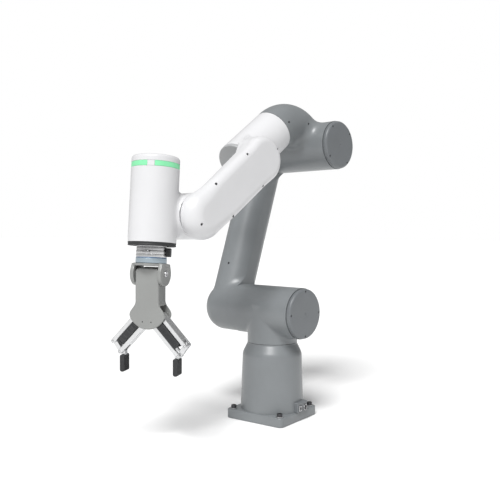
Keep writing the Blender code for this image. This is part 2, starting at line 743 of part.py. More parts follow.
def make_finger(body, side):
    """Two parallel bars, the dark channel between them, and the tip that they keep upright."""
    sign = 1 if side == "right" else -1
    swing = REST_FINGER * sign
    angle = math.radians(REST_FINGER)
    inner_at = (INNER_PIVOT[1], INNER_PIVOT[0] * sign, 0.0)
    outer_at = (OUTER_PIVOT[1], OUTER_PIVOT[0] * sign, 0.0)
    inner = frame("inner_link_%s_axis" % side, body, inner_at, (0, 0, swing))
    outer = frame("outer_link_%s_axis" % side, body, outer_at, (0, 0, swing))
    tip = frame("fingertip_%s_axis" % side, inner, (LINK_LENGTH, 0.0, 0.0), (0, 0, -swing))
    link("inner_link_" + side, inner, 0.024)
    link("outer_link_" + side, outer, 0.014)

    # The channel sits on the inner bar; its mouth faces the outer bar
    across = OUTER_PIVOT[0] - INNER_PIVOT[0]
    down = OUTER_PIVOT[1] - INNER_PIVOT[1]
    spacing = across * math.cos(angle) - down * math.sin(angle)
    half = LINK_WIDTH / 2
    low, high = half + GAP, spacing - half - GAP
    span = [low * sign, high * sign]
    channel = rounded_rectangle(0.0070, min(span), LINK_LENGTH - 0.014, max(span), 0.005, 4)
    made = add("link_cover_" + side, extruded(channel, -0.0148, 0.0148), inner, (0, 0, 0), "+z", DARK_PLASTIC)
    mouth = [(low + 0.0015) * sign, (high + 0.01) * sign]
    cut = block((-0.05, min(mouth), -0.0124), (0.15, max(mouth), 0.0124))
    combine(made, "DIFFERENCE", [helper(cut, inner)])

    # The tongue joins both lower pivots and carries the pad's backing
    radius = 0.0052
    far = (down, across * sign)
    bar = extruded(bar_outline((0.0, 0.0), far, radius), -0.0055, 0.0055)
    tongue = add("tip_bracket_" + side, bar, tip, (0, 0, 0), "+z", ALUMINIUM)
    back = PAD_OFFSET * sign
    stem = block((-0.002, back - 0.0042, -0.0055), (PAD_TOP + 0.0200, back + 0.0042, 0.0055))
    shapes = [
        helper(stem, tip),
        helper(rod(0.0022, -0.0115, 0.0115, 12), tip),
        helper(rod(0.0022, -0.0115, 0.0115, 12), tip, (far[0], far[1], 0.0)),
    ]
    combine(tongue, "UNION", shapes)
    pad = block(
        (PAD_TOP, back - PAD_THICKNESS / 2, -PAD_WIDTH / 2),
        (PAD_TOP + PAD_LENGTH, back + PAD_THICKNESS / 2, PAD_WIDTH / 2),
        0.003,
        2,
    )
    pad_made = add("fingertip_pad_" + side, pad, tip, (0, 0, 0), "+z", BLACK)
    pocket = block((PAD_TOP - 0.01, back - 0.0045, -0.0058), (PAD_TOP + 0.0203, back + 0.0045, 0.0058))
    combine(pad_made, "DIFFERENCE", [helper(pocket, tip)])


def main():
    clear_scene()
    root = frame("base_frame", None, (0, 0, 0), (0, 0, 0))
    axis_1 = frame("axis_1", root, (0, 0, 0), (0, 0, REST_1))
    axis_2 = frame("axis_2", axis_1, (0, 0, SHOULDER_HEIGHT), (0, REST_2, 0))
    axis_3 = frame("axis_3", axis_2, (0, 0, LOWER_ARM_LENGTH), (0, REST_3, 0))
    axis_4 = frame("axis_4", axis_3, (0, 0, ELBOW_OFFSET), (REST_4, 0, 0))
    axis_5 = frame("axis_5", axis_4, (FOREARM_LENGTH, 0, 0), (0, REST_5, 0))
    axis_6 = frame("axis_6", axis_5, (0, 0, WRIST_OFFSET), (REST_6, 0, 0))
    tilt = frame("tilt_axis", axis_6, (TILT_PIVOT, 0, 0), (0, REST_TILT, 0))

    make_base(root)
    make_shoulder(axis_1)
    make_lower_arm(axis_2)
    make_elbow(axis_3)
    make_forearm(axis_4)
    make_wrist(axis_5)
    make_tool(axis_6)
    make_gripper_body(tilt)
    make_finger(tilt, "left")
    make_finger(tilt, "right")

    seam = ARM_SEAM_Y
    seam_6 = WRIST_BOTTOM - 0.002
    joint_unit(1, (root, (0, 0, SEAM_1), "-z"), (axis_1, (0, 0, SEAM_1), "+z"), 0.050)
    joint_unit(2, (axis_1, (0, seam, SHOULDER_HEIGHT), "+y"), (axis_2, (0, seam, 0), "-y"), 0.048)
    joint_unit(3, (axis_3, (0, seam, 0), "+y"), (axis_2, (0, seam, LOWER_ARM_LENGTH), "-y"), 0.048)
    joint_unit(4, (axis_4, (SEAM_4, 0, 0), "+x"), (axis_3, (SEAM_4, 0, ELBOW_OFFSET), "-x"), 0.042)
    joint_unit(5, (axis_5, (0, SEAM_5, 0), "-y"), (axis_4, (FOREARM_LENGTH, SEAM_5, 0), "+y"), 0.037)
    joint_unit(6, (axis_5, (seam_6, 0, WRIST_OFFSET), "-x"), (axis_6, (seam_6, 0, 0), "-x"), 0.038, 0.030)


main()
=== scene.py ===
import math

import bmesh
import bpy
import numpy as np
from mathutils import Matrix, Vector


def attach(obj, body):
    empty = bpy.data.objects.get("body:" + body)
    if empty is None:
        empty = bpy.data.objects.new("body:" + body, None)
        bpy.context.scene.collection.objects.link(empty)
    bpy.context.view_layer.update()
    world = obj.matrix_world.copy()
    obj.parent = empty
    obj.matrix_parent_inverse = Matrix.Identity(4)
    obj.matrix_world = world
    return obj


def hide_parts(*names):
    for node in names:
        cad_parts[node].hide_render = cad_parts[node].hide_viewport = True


# Joint axes, metres
SHOULDER_HEIGHT = 0.265
LOWER_ARM_LENGTH = 0.444
ELBOW_OFFSET = 0.110
FOREARM_LENGTH = 0.470
WRIST_OFFSET = 0.080
TILT_PIVOT = 0.126

# Rest angles, degrees
REST = {
    "1": -6.57, "2": -18.65, "3": 55.21, "4": 1.3, "5": 49.23, "6": -25.0, "tilt": 6.0,
    "finger": 43.0,
}

# Camera: place, aim and lens
CAMERA_AT = (1.3723, 0.9250, 0.4594)
CAMERA_FORWARD = (-0.80916, -0.58702, -0.02564)
CAMERA_UP = (-0.01796, -0.01891, 0.99966)
CAMERA_LENS_MM = 47.5

# Strength of the even studio light from all round
SKY = 0.36

# Step of the sampled surfaces, metres
FINE = 0.0020

# Half the width of a joint's seam
SEAM = 0.0005

# Where the links meet: the base's top, the two side seams, the forearm's start, the wrist's hub
BASE_TOP = 0.188
SIDE_SEAM = 0.100
FOREARM_START = 0.103
HUB_FACE = 0.050

# Gap that fingers and covers keep from their neighbours
GAP = 0.0003

# Gripper: half depth of its body, finger length and half width, pivots as (down, across)
BODY_DEPTH = 0.018
FINGER_LENGTH = 0.083
FINGER_HALF = 0.0045
INNER_PIVOT = (0.1055, 0.0098)
OUTER_PIVOT = (0.0840, 0.0258)

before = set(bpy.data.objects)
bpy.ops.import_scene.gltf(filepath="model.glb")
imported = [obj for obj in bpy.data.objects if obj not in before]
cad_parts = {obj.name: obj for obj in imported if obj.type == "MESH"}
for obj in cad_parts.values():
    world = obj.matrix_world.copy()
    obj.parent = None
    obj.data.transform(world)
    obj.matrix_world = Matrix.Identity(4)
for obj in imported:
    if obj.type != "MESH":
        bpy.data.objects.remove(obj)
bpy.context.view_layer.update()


# ---------------------------------------------------------------- link frames


def shift(x, y, z):
    return Matrix.Translation((x, y, z))


def turn(axis, degrees):
    return Matrix.Rotation(math.radians(degrees), 4, axis)


def link_frames():
    shoulder = turn("Z", REST["1"])
    lower_arm = shoulder @ shift(0, 0, SHOULDER_HEIGHT) @ turn("Y", REST["2"])
    elbow = lower_arm @ shift(0, 0, LOWER_ARM_LENGTH) @ turn("Y", REST["3"])
    forearm = elbow @ shift(0, 0, ELBOW_OFFSET) @ turn("X", REST["4"])
    wrist = forearm @ shift(FOREARM_LENGTH, 0, 0) @ turn("Y", REST["5"])
    tool = wrist @ shift(0, 0, WRIST_OFFSET) @ turn("X", REST["6"])
    return {
        "base": Matrix.Identity(4),
        "shoulder": shoulder,
        "lower_arm": lower_arm,
        "elbow": elbow,
        "forearm": forearm,
        "wrist": wrist,
        "tool": tool,
        "gripper": tool @ shift(TILT_PIVOT, 0, 0) @ turn("Y", REST["tilt"]),
    }


LINKS = link_frames()
ALONG = {
    "+z": Matrix.Identity(4),
    "-z": turn("X", 180),
    "+y": turn("X", -90),
    "-y": turn("X", 90),
    "+x": turn("Y", 90),
    "-x": turn("Y", -90),
}


# ------------------------------------------------------------------ materials


def shader_nodes(name):
    material = bpy.data.materials.new(name)
    material.use_nodes = True
    tree = material.node_tree
    return material, tree, tree.nodes["Principled BSDF"]


def texture(tree, kind, scale, detail=2.0, roughness=0.5):
    """A procedural texture on the piece's own coordinates."""
    where = tree.nodes.new("ShaderNodeTexCoord")
    made = tree.nodes.new(kind)
    made.inputs["Scale"].default_value = scale
    if "Detail" in made.inputs:
        made.inputs["Detail"].default_value = detail
    if "Roughness" in made.inputs:
        made.inputs["Roughness"].default_value = roughness
    tree.links.new(where.outputs["Object"], made.inputs["Vector"])
    return made


def ramp(tree, source, low, high, start=0.35, end=0.65):
    """Map a texture's grey value between two values."""
    made = tree.nodes.new("ShaderNodeMapRange")
    made.inputs["From Min"].default_value = start
    made.inputs["From Max"].default_value = end
    made.inputs["To Min"].default_value = low
    made.inputs["To Max"].default_value = high
    tree.links.new(source, made.inputs["Value"])
    return made.outputs["Result"]


def tint(tree, source, dark, light):
    """Mix two colours by a grey value."""
    made = tree.nodes.new("ShaderNodeMix")
    made.data_type = "RGBA"
    made.inputs["A"].default_value = (*dark, 1.0)
    made.inputs["B"].default_value = (*light, 1.0)
    tree.links.new(source, made.inputs["Factor"])
    return made.outputs["Result"]


def bump(tree, shader, source, distance, strength=1.0):
    made = tree.nodes.new("ShaderNodeBump")
    made.inputs["Distance"].default_value = distance
    made.inputs["Strength"].default_value = strength
    tree.links.new(source, made.inputs["Height"])
    tree.links.new(made.outputs["Normal"], shader.inputs["Normal"])
    return made


def surface_material(name, colour, spread, roughness, grain, depth, metallic=0.0, coat=0.0):
    """A cast or moulded surface: slow colour drift, fine grain in bump and in roughness."""
    material, tree, shader = shader_nodes(name)
    drift = texture(tree, "ShaderNodeTexNoise", 18.0, 3.0)
    fine = texture(tree, "ShaderNodeTexNoise", grain, 3.0, 0.6)
    share = ramp(tree, drift.outputs["Fac"], 0.0, 1.0)
    dark = tuple(c * (1.0 - spread) for c in colour)
    light = tuple(min(1.0, c * (1.0 + spread)) for c in colour)
    tree.links.new(tint(tree, share, dark, light), shader.inputs["Base Color"])
    rough = ramp(tree, fine.outputs["Fac"], roughness - 0.05, roughness + 0.05)
    tree.links.new(rough, shader.inputs["Roughness"])
    bump(tree, shader, fine.outputs["Fac"], depth)
    shader.inputs["Metallic"].default_value = metallic
    if coat:
        shader.inputs["Coat Weight"].default_value = coat
        shader.inputs["Coat Roughness"].default_value = 0.25
    return material


def turned_metal(name, colour, roughness, scale):
    """Machined metal with a fine, uneven cut and faint clouding."""
    material, tree, shader = shader_nodes(name)
    marks = texture(tree, "ShaderNodeTexNoise", scale, 2.0)
    cloud = texture(tree, "ShaderNodeTexNoise", 60.0, 3.0)
    share = ramp(tree, cloud.outputs["Fac"], 0.0, 1.0)
    dark = tuple(c * 0.94 for c in colour)
    tree.links.new(tint(tree, share, dark, colour), shader.inputs["Base Color"])
    tree.links.new(
        ramp(tree, marks.outputs["Fac"], roughness - 0.06, roughness + 0.06),
        shader.inputs["Roughness"],
    )
    bump(tree, shader, marks.outputs["Fac"], 0.00001)
    shader.inputs["Metallic"].default_value = 1.0
    return material


def glowing(name, colour, strength):
    """A lit, frosted light pipe, a little uneven along its length."""
    material, tree, shader = shader_nodes(name)
    cloud = texture(tree, "ShaderNodeTexNoise", 40.0, 2.0)
    share = ramp(tree, cloud.outputs["Fac"], 0.0, 1.0)
    bright = tint(tree, share, tuple(c * 0.93 for c in colour), colour)
    tree.links.new(bright, shader.inputs["Base Color"])
    tree.links.new(bright, shader.inputs["Emission Color"])
    shader.inputs["Emission Strength"].default_value = strength
    shader.inputs["Roughness"].default_value = 0.35
    return material


GRAPHITE = surface_material(
    "graphite_paint", (0.176, 0.188, 0.195), 0.03, 0.40, 900.0, 0.00006, 0.0, 0.15
)
# A darker copy of the graphite paint: its darkness is painted shade, used on the end caps and the
# connector block
GRAPHITE_PAINTED_SHADE = surface_material(
    "graphite_with_painted_shade", (0.135, 0.145, 0.153), 0.03, 0.42, 900.0, 0.00006, 0.0, 0.1
)
# A lighter grey standing in for graphite paint in bright light: a painted highlight, used on the
# forearm's end disc
GRAPHITE_PAINTED_LIGHT = surface_material("graphite_with_painted_light", (0.36, 0.365, 0.37), 0.02, 0.45, 900.0, 0.00005)
WHITE = surface_material("white_paint", (0.62, 0.62, 0.63), 0.012, 0.33, 900.0, 0.00004, 0.0, 0.2)
LIGHT_GREY = surface_material(
    "light_grey_paint", (0.270, 0.275, 0.268), 0.025, 0.38, 1100.0, 0.00004, 0.25
)
SEAM_BLACK = surface_material("seam_black", (0.02, 0.02, 0.021), 0.10, 0.65, 700.0, 0.00005)
RUBBER = surface_material("black_rubber", (0.020, 0.021, 0.022), 0.12, 0.62, 700.0, 0.0001)
DARK_PLASTIC = surface_material("dark_plastic", (0.022, 0.023, 0.025), 0.10, 0.50, 900.0, 0.00008)
SCREW_DARK = turned_metal("screw_black_oxide", (0.09, 0.09, 0.095), 0.45, 1500.0)
STEEL = turned_metal("turned_steel", (0.58, 0.58, 0.59), 0.28, 900.0)
ALUMINIUM = turned_metal("machined_aluminium", (0.74, 0.745, 0.75), 0.32, 700.0)
COPPER = turned_metal("motor_winding", (0.60, 0.34, 0.18), 0.40, 400.0)
GREEN = glowing("light_green", (0.20, 0.62, 0.33), 0.22)
BLUE_LINE = surface_material("blue_line", (0.03, 0.10, 0.24), 0.05, 0.4, 900.0, 0.00003)
BLUE_GREY = surface_material("blue_grey_anodised", (0.36, 0.43, 0.48), 0.03, 0.35, 1100.0, 0.00003, 0.5)


# ----------------------------------------------------------------- mesh tools


PLACES = {}


def place(name, mesh, link, material, local=None, body=None):
    """A piece made in a link's frame and set in the row frame, riding on that link's body."""
    PLACES[name] = LINKS[link] @ (local or Matrix.Identity(4))
    mesh.transform(PLACES[name])
    obj = bpy.data.objects.new(name, mesh)
    bpy.context.collection.objects.link(obj)
    mesh.materials.clear()
    mesh.materials.append(material)
    bpy.context.view_layer.update()
    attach(obj, body or link)
    return obj


def mesh_from(bm, name, smooth_angle=32.0):
    bmesh.ops.recalc_face_normals(bm, faces=bm.faces)
    mesh = bpy.data.meshes.new(name)
    bm.to_mesh(mesh)
    bm.free()
    mesh.shade_smooth()
    mesh.set_sharp_from_angle(angle=math.radians(smooth_angle))
    return mesh


def turned(profile, steps=96, ring=False):
    """Turn (radius, height) points about Z."""
    bm = bmesh.new()
    points = [bm.verts.new((r, 0.0, h)) for r, h in profile]
    edges = [bm.edges.new(pair) for pair in zip(points, points[1:])]
    if ring:
        edges.append(bm.edges.new((points[-1], points[0])))
    bmesh.ops.spin(
        bm, geom=points + edges, cent=(
            0, 0, 0
        ), axis=(0, 0, 1), angle=math.tau, steps=steps, use_merge=True
    )
    bmesh.ops.remove_doubles(bm, verts=bm.verts, dist=1e-6)
    return bm


def fillet(corners, radius, count=4):
    """Round every inner corner of a profile given as (radius, height) points."""
    points = [corners[0]]
    for before, corner, after in zip(corners, corners[1:], corners[2:]):
        b, c, a = Vector(before), Vector(corner), Vector(after)
        size = min(radius, (b - c).length * 0.45, (a - c).length * 0.45)
        start = c + (b - c).normalized() * size
        end = c + (a - c).normalized() * size
        for i in range(count + 1):
            t = i / count
            points.append(tuple(start * (1 - t) ** 2 + c * 2 * t * (1 - t) + end * t**2))
    points.append(corners[-1])
    return points


def rod(radius, low, high):
    """The profile of a plain round bar."""
    return [(0.0, low), (radius, low), (radius, high), (0.0, high)]


def lathe(name, profile, link, along, at, material, rounding=0.0, ring=False, steps=96):
    if rounding:
        profile = fillet(profile, rounding)
    mesh = mesh_from(turned(profile, steps, ring), name)
    return place(name, mesh, link, material, shift(*at) @ ALONG[along])


# ------------------------------------------------- blended housings, as fields


def smooth_min(a, b, k):
    h = np.maximum(k - np.abs(a - b), 0.0) / k
    return np.minimum(a, b) - h * h * k * 0.25


def smooth_max(a, b, k):
    return -smooth_min(-a, -b, k)


def slope_of(field, p):
    """A field's unit slope, as three arrays."""
    here = field(p)
    parts = []
    for k in range(3):
        ahead = [q + 1e-4 if n == k else q for n, q in enumerate(p)]
        parts.append(field(ahead) - here)
    length = np.sqrt(sum(part**2 for part in parts)) + 1e-12
    return [part / length for part in parts]


def union(first, second, k):
    """Two fields joined with a fillet that fades where their surfaces run along each other."""

    def joined(p):
        a, b = first(p), second(p)
        near = (np.abs(a - b) < k) & (np.minimum(a, b) < k)
        result = np.minimum(a, b)
        if near.any():
            some = [q[near] for q in np.broadcast_arrays(*p)]
            one, two = slope_of(first, some), slope_of(second, some)
            across = np.clip(1.0 - sum(u * v for u, v in zip(one, two)), 1e-4, 1.0)
            result[near] = smooth_min(a[near], b[near], k * across)
        return result

    return joined


def cylinder_field(p, along, centre, radius, low, high, rounding):
    """Distance to a cylinder along X, Y or Z with rounded ends."""
    k = "xyz".index(along)
    others = [n for n in range(3) if n != k]
    across = np.hypot(p[others[0]] - centre[others[0]], p[others[1]] - centre[others[1]])
    out = across - (radius - rounding)
    end = np.abs(p[k] - (low + high) / 2) - ((high - low) / 2 - rounding)
    outside = np.hypot(np.maximum(out, 0.0), np.maximum(end, 0.0))
    return np.minimum(np.maximum(out, end), 0.0) + outside - rounding


def surface_net(field, low, high, step):
    """A quad mesh on a field's zero level, with every point moved onto it."""
    low = np.array(low) - 2.2 * step
    count = np.ceil((np.array(high) + 2.2 * step - low) / step).astype(int) + 1
    grid = np.meshgrid(*[low[k] + step * np.arange(count[k]) for k in range(3)], indexing="ij")
    values = field(grid)
    inside = values < 0
    size = count - 1
    corners = [(i, j, k) for i in (0, 1) for j in (0, 1) for k in (0, 1)]

    def at(array, corner):
        i, j, k = corner
        return array[i : i + size[0], j : j + size[1], k : k + size[2]]

    total = sum(at(inside, c).astype(np.int8) for c in corners)
    mixed = (total > 0) & (total < 8)
    number = np.full(size, -1)
    number[mixed] = np.arange(mixed.sum())
    cells = np.argwhere(mixed).astype(float)
    place_sum = np.zeros_like(cells)
    hits = np.zeros(len(cells))
    for a in corners:
        for axis in range(3):
            if a[axis]:
                continue
            b = tuple(v + (n == axis) for n, v in enumerate(a))
            va, vb = at(values, a)[mixed], at(values, b)[mixed]
            cross = (va < 0) != (vb < 0)
            share = va[cross] / (va[cross] - vb[cross])
            point = np.tile(np.array(a, float), (cross.sum(), 1))
            point[:, axis] += share
            place_sum[cross] += point
            hits[cross] += 1
    points = low + step * (cells + place_sum / hits[:, None])
    quads = []
    for axis in range(3):
        u, v = [n for n in range(3) if n != axis]
        one = np.zeros(3, int)
        one[axis] = 1
        here = inside[: count[0] - one[0], : count[1] - one[1], : count[2] - one[2]]
        there = inside[one[0] :, one[1] :, one[2] :]
        change = np.argwhere(here != there)
        keep = (change[:, u] > 0) & (change[:, v] > 0)
        keep &= (change[:, u] < size[u]) & (change[:, v] < size[v]) & (change[:, axis] < size[axis])
        change = change[keep]
        ring = []
        for du, dv in ((-1, -1), (0, -1), (0, 0), (-1, 0)):
            cell = change.copy()
            cell[:, u] += du
            cell[:, v] += dv
            ring.append(number[cell[:, 0], cell[:, 1], cell[:, 2]])
        ring = np.stack(ring, 1)
        flip = here[change[:, 0], change[:, 1], change[:, 2]]
        if axis == 1:
            flip = ~flip
        ring[~flip] = ring[~flip][:, ::-1]
        quads.append(ring)
    quads = np.concatenate(quads)
    for _ in range(4):
        value = field(points.T)
        slope = np.empty_like(points)
        for k in range(3):
            ahead, behind = points.T.copy(), points.T.copy()
            ahead[k] += 1e-4
            behind[k] -= 1e-4
            slope[:, k] = (field(ahead) - field(behind)) / 2e-4
        length = np.maximum((slope**2).sum(1), 0.05)
        move = slope * (value / length)[:, None]
        reach = np.linalg.norm(move, axis=1)
        move *= np.minimum(1.0, 0.7 * step / np.maximum(reach, 1e-12))[:, None]
        points = points - move
    return points, quads


def housing(name, field, low, high, link, material, cuts=(), step=FINE, local=None, body=None):
    """A blended shell from a field, cut flat at its seams, each cut given as (point, outward normal)."""
    points, quads = surface_net(field, low, high, step)
    mesh = bpy.data.meshes.new(name)
    mesh.from_pydata(points.tolist(), [], quads.tolist())
    bm = bmesh.new()
    bm.from_mesh(mesh)
    for point, normal in cuts:
        whole = bm.verts[:] + bm.edges[:] + bm.faces[:]
        bmesh.ops.bisect_plane(bm, geom=whole, plane_co=point, plane_no=normal, clear_outer=True)
        rim = [e for e in bm.edges if len(e.link_faces) == 1]
        bmesh.ops.contextual_create(bm, geom=rim)
    bmesh.ops.recalc_face_normals(bm, faces=bm.faces)
    bm.to_mesh(mesh)
    bm.free()
    mesh.shade_smooth()
    mesh.set_sharp_from_angle(angle=math.radians(40))
    return place(name, mesh, link, material, local, body)


def make_shoulder():
    cap_back = 0.0933

    def neck(p):
        return cylinder_field(p, "z", (0, 0, 0), 0.0623, 0.10, SHOULDER_HEIGHT + 0.02, 0.002)

    def barrel(p):
        return cylinder_field(p, "y", (0, 0, SHOULDER_HEIGHT), 0.0622, -0.16, 0.16, 0.002)

    field = union(neck, barrel, 0.012)
    made = housing(
        "shoulder_shell", field, (-0.068, -0.106, 0.182), (0.068, 0.100, 0.332), "shoulder",
        GRAPHITE, [ ((0, -SIDE_SEAM + SEAM, 0), (0, -1, 0)), ((0, cap_back - 0.0002, 0), (0, 1, 0)),
        ((0, 0, BASE_TOP + SEAM), (0, 0, -1)), ],
    )
    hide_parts("shoulder_housing")


def make_lower_arm():
    def low(p):
        return cylinder_field(p, "y", (0, 0, 0), 0.0613, -0.202, 0.0, 0.045)

    def high(p):
        return cylinder_field(p, "y", (0, 0, LOWER_ARM_LENGTH), 0.0613, -0.202, 0.0, 0.045)

    def tube(p):
        return cylinder_field(p, "z", (0, -0.150, 0), 0.0517, -0.005, LOWER_ARM_LENGTH + 0.005, 0.004)

    field = union(union(low, tube, 0.030), high, 0.030)
    made = housing(
        "lower_arm_shell", field, (-0.066, -0.206, -0.066),
        (0.066, -0.094, LOWER_ARM_LENGTH + 0.066), "lower_arm", GRAPHITE,
        [((0, -SIDE_SEAM - SEAM, 0), (0, 1, 0))],
    )
    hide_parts("lower_arm_housing")


def bend_field(p, corner, rise, start_radius, end_radius):
    """A round tube that climbs along Z, turns through a quarter circle and leaves along X."""
    x, y, z = p
    up = z - rise
    angle = np.clip(np.arctan2(up, corner - x), 0.0, math.pi / 2)
    radius = start_radius + (end_radius - start_radius) * angle / (math.pi / 2)
    around = np.hypot(np.hypot(corner - x, up) - corner, y) - radius
    level = np.hypot(up - corner, y) - end_radius
    upright = np.hypot(x, y) - start_radius
    return np.where(x > corner, level, np.where(up < 0, upright, around))


def make_elbow():
    def barrel(p):
        return cylinder_field(p, "y", (0, 0, 0), 0.0613, -0.16, 0.16, 0.002)

    def bend(p):
        return smooth_max(bend_field(p, 0.092, 0.018, 0.047, 0.0526), -p[2], 0.01)

    field = union(barrel, bend, 0.030)
    made = housing(
        "elbow_shell", field, (-0.066, -0.106, -0.066), (0.110, 0.098, 0.168), "elbow", GRAPHITE, [
        ((0, -SIDE_SEAM + SEAM, 0), (0, -1, 0)), ((0, 0.0913 - 0.0002, 0), (0, 1, 0)),
        ((FOREARM_START - SEAM, 0, 0), (1, 0, 0)), ],
    )
    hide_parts("elbow_housing")


# Forearm: the knuckle's place and back, the side beam's back and outer face
KNUCKLE_X = 0.246
KNUCKLE_BACK = 0.0340
BEAM_BACK = 0.0506
BEAM_FACE = 0.0900


def side_outline(x, z):
    """Outline of the forearm's side beam seen along Y: a bar with a round body at each end."""
    along = np.clip(x, KNUCKLE_X, FOREARM_LENGTH)
    half = np.interp(along, [KNUCKLE_X, 0.285, 0.435, FOREARM_LENGTH], [0.0525, 0.0502, 0.0502, 0.0515])
    return np.hypot(x - along, z) - half


def beam_field(p):
    """Side beam: flat outer face, level back, its edges rounded more and more toward the wrist."""
    x, y, z = p
    front = np.interp(x, [KNUCKLE_X, 0.400, 0.455, 0.500], [0.0165, 0.0200, 0.0290, 0.0345])
    rear = np.interp(x, [KNUCKLE_X, 0.418], [0.0020, 0.0180])
    rear = np.where(x > 0.440, np.interp(x, [0.440, 0.470], [0.0180, 0.0030]), rear)
    middle = (BEAM_BACK + rear + BEAM_FACE - front) / 2
    radius = np.where(y > middle, front, rear)
    across = side_outline(x, z) + radius
    end = np.where(y > middle, y - (BEAM_FACE - front), (BEAM_BACK + rear) - y)
    outside = np.hypot(np.maximum(across, 0.0), np.maximum(end, 0.0))
    return np.minimum(np.maximum(across, end), 0.0) + outside - radius


def knuckle_field(p):
    round_body = np.hypot(p[0] - KNUCKLE_X, p[2]) - 0.0524
    round_body = smooth_max(round_body, KNUCKLE_BACK - p[1], 0.004)
    return smooth_max(round_body, p[1] - 0.0650, 0.004)


def make_forearm():
    def tube(p):
        return cylinder_field(p, "x", (0, 0, 0), 0.0526, 0.02, 0.2500, 0.0015)

    side = union(beam_field, knuckle_field, 0.010)
    made = housing(
        "forearm_shell", union(tube, side, 0.020), (0.098, -0.056, -0.056), (0.526, 0.094, 0.056),
        "forearm", WHITE, [((FOREARM_START + SEAM, 0, 0), (-1, 0, 0))],
    )
    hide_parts("forearm_housing", "forearm_side_cover")


def make_wrist():
    def barrel(p):
        return cylinder_field(p, "x", (0, 0, WRIST_OFFSET), 0.0503, -0.15, 0.10, 0.002)

    def hub(p):
        body = cylinder_field(p, "y", (0, 0, 0), 0.0500, -0.0500, 0.12, 0.0012)
        return smooth_max(body, p[1] - (HUB_FACE - SEAM), 0.0012)

    def neck(p):
        return cylinder_field(p, "z", (0, 0, 0), 0.0440, 0.0, WRIST_OFFSET, 0.004)

    field = union(union(barrel, neck, 0.018), hub, 0.018)
    made = housing(
        "wrist_shell", field, (-0.108, -0.060, -0.054), (0.066, 0.054, 0.134), "wrist", WHITE,
        [((-0.092 + 0.0003, 0, 0), (-1, 0, 0)), ((0.0614, 0, 0), (1, 0, 0))],
    )
    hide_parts("wrist_housing", "wrist_rear_cap")


make_shoulder()
make_lower_arm()
make_elbow()
make_forearm()
make_wrist()


# -------------------------------------------------------------- detail pieces


def rings_mesh(rings, name, smooth_angle=32.0, closed=False):
    """A closed mesh from stacked rings of points; the first and last ring are filled unless closed."""
    bm = bmesh.new()
    made = [[bm.verts.new(point) for point in ring] for ring in rings]
    pairs = list(zip(made, made[1:]))
    if closed:
        pairs.append((made[-1], made[0]))
    for low, high in pairs:
        count = len(low)
        for i in range(count):
            bm.faces.new((low[i], low[(i + 1) % count], high[(i + 1) % count], high[i]))
    if not closed:
        bm.faces.new(list(reversed(made[0])))
        bm.faces.new(made[-1])
    return mesh_from(bm, name, smooth_angle)


def outline_normals(outline):
    result = []
    for i, here in enumerate(outline):
        before, after = outline[i - 1], outline[(i + 1) % len(outline)]
        along = Vector((after[0] - before[0], after[1] - before[1])).normalized()
        result.append((along.y, -along.x))
    return result


def rounded_plate(outline, low, high, edge, name, count=3):
    """A convex outline, counterclockwise, extruded along Z with rounded edges."""
    normals = outline_normals(outline)
    rings = []
    for side, base in ((-1, low + edge), (1, high - edge)):
        angles = [math.pi / 2 * i / count for i in range(count + 1)]
        if side < 0:
            angles.reverse()
        for angle in angles:
            inset = edge * (1 - math.cos(angle))
            height = base + side * edge * math.sin(angle)
            pairs = zip(outline, normals)
            rings.append([(x - nx * inset, y - ny * inset, height) for (x, y), (nx, ny) in pairs])
    return rings_mesh(rings, name)


def arc_points(cx, cy, radius, start, end, count):
    angles = [math.radians(start + (end - start) * i / count) for i in range(count + 1)]
    return [(cx + radius * math.cos(a), cy + radius * math.sin(a)) for a in angles]


def rounded_rectangle(x0, y0, x1, y1, radius, count=8):
    points = []
    for cx, cy, start in (
        (x1 - radius, y0 + radius, -90), (x1 - radius, y1 - radius, 0),
        (x0 + radius, y1 - radius, 90), (x0 + radius, y0 + radius, 180),
    ):
        points += arc_points(cx, cy, radius, start, start + 90, count)
    return points


def hex_radius(across, angle):
    """Distance from a hexagon's centre to its side at an angle, for a given centre-to-corner size."""
    step = math.radians(60)
    return across * math.cos(step / 2) / math.cos((angle % step) - step / 2)


def socket_screw_mesh(name, head, height, socket, base=None, depth=None):
    """A socket-head screw standing on z = 0: turned head with a rounded rim and a hexagon socket."""
    steps = 24
    soft = 0.12 * head
    depth = depth or 0.6 * height
    profile = [(base or head, 0.0, False)]
    profile += [(head, 0.0, False)] if base else []
    profile += [
        (head, height - soft, False), (head - soft * 0.3, height - soft * 0.3, False),
        (head - soft, height, False), (socket * 1.12, height, False),
        (socket, height - socket * 0.12, True), (socket, height - depth, True),
    ]
    rings = []
    for radius, level, is_hex in profile:
        ring = []
        for i in range(steps):
            angle = math.tau * i / steps
            r = hex_radius(radius, angle) if is_hex else radius
            ring.append((r * math.cos(angle), r * math.sin(angle), level))
        rings.append(ring)
    return rings_mesh(rings, name, 35.0)


def screw(name, link, at, direction, head, height, socket):
    """A small socket screw with its foot at a point and its head along a direction."""
    local = shift(*at) @ Vector((0, 0, 1)).rotation_difference(Vector(direction)).to_matrix().to_4x4()
    mesh = socket_screw_mesh(name, head, height, socket)
    return place(name, mesh, link, SCREW_DARK, local)


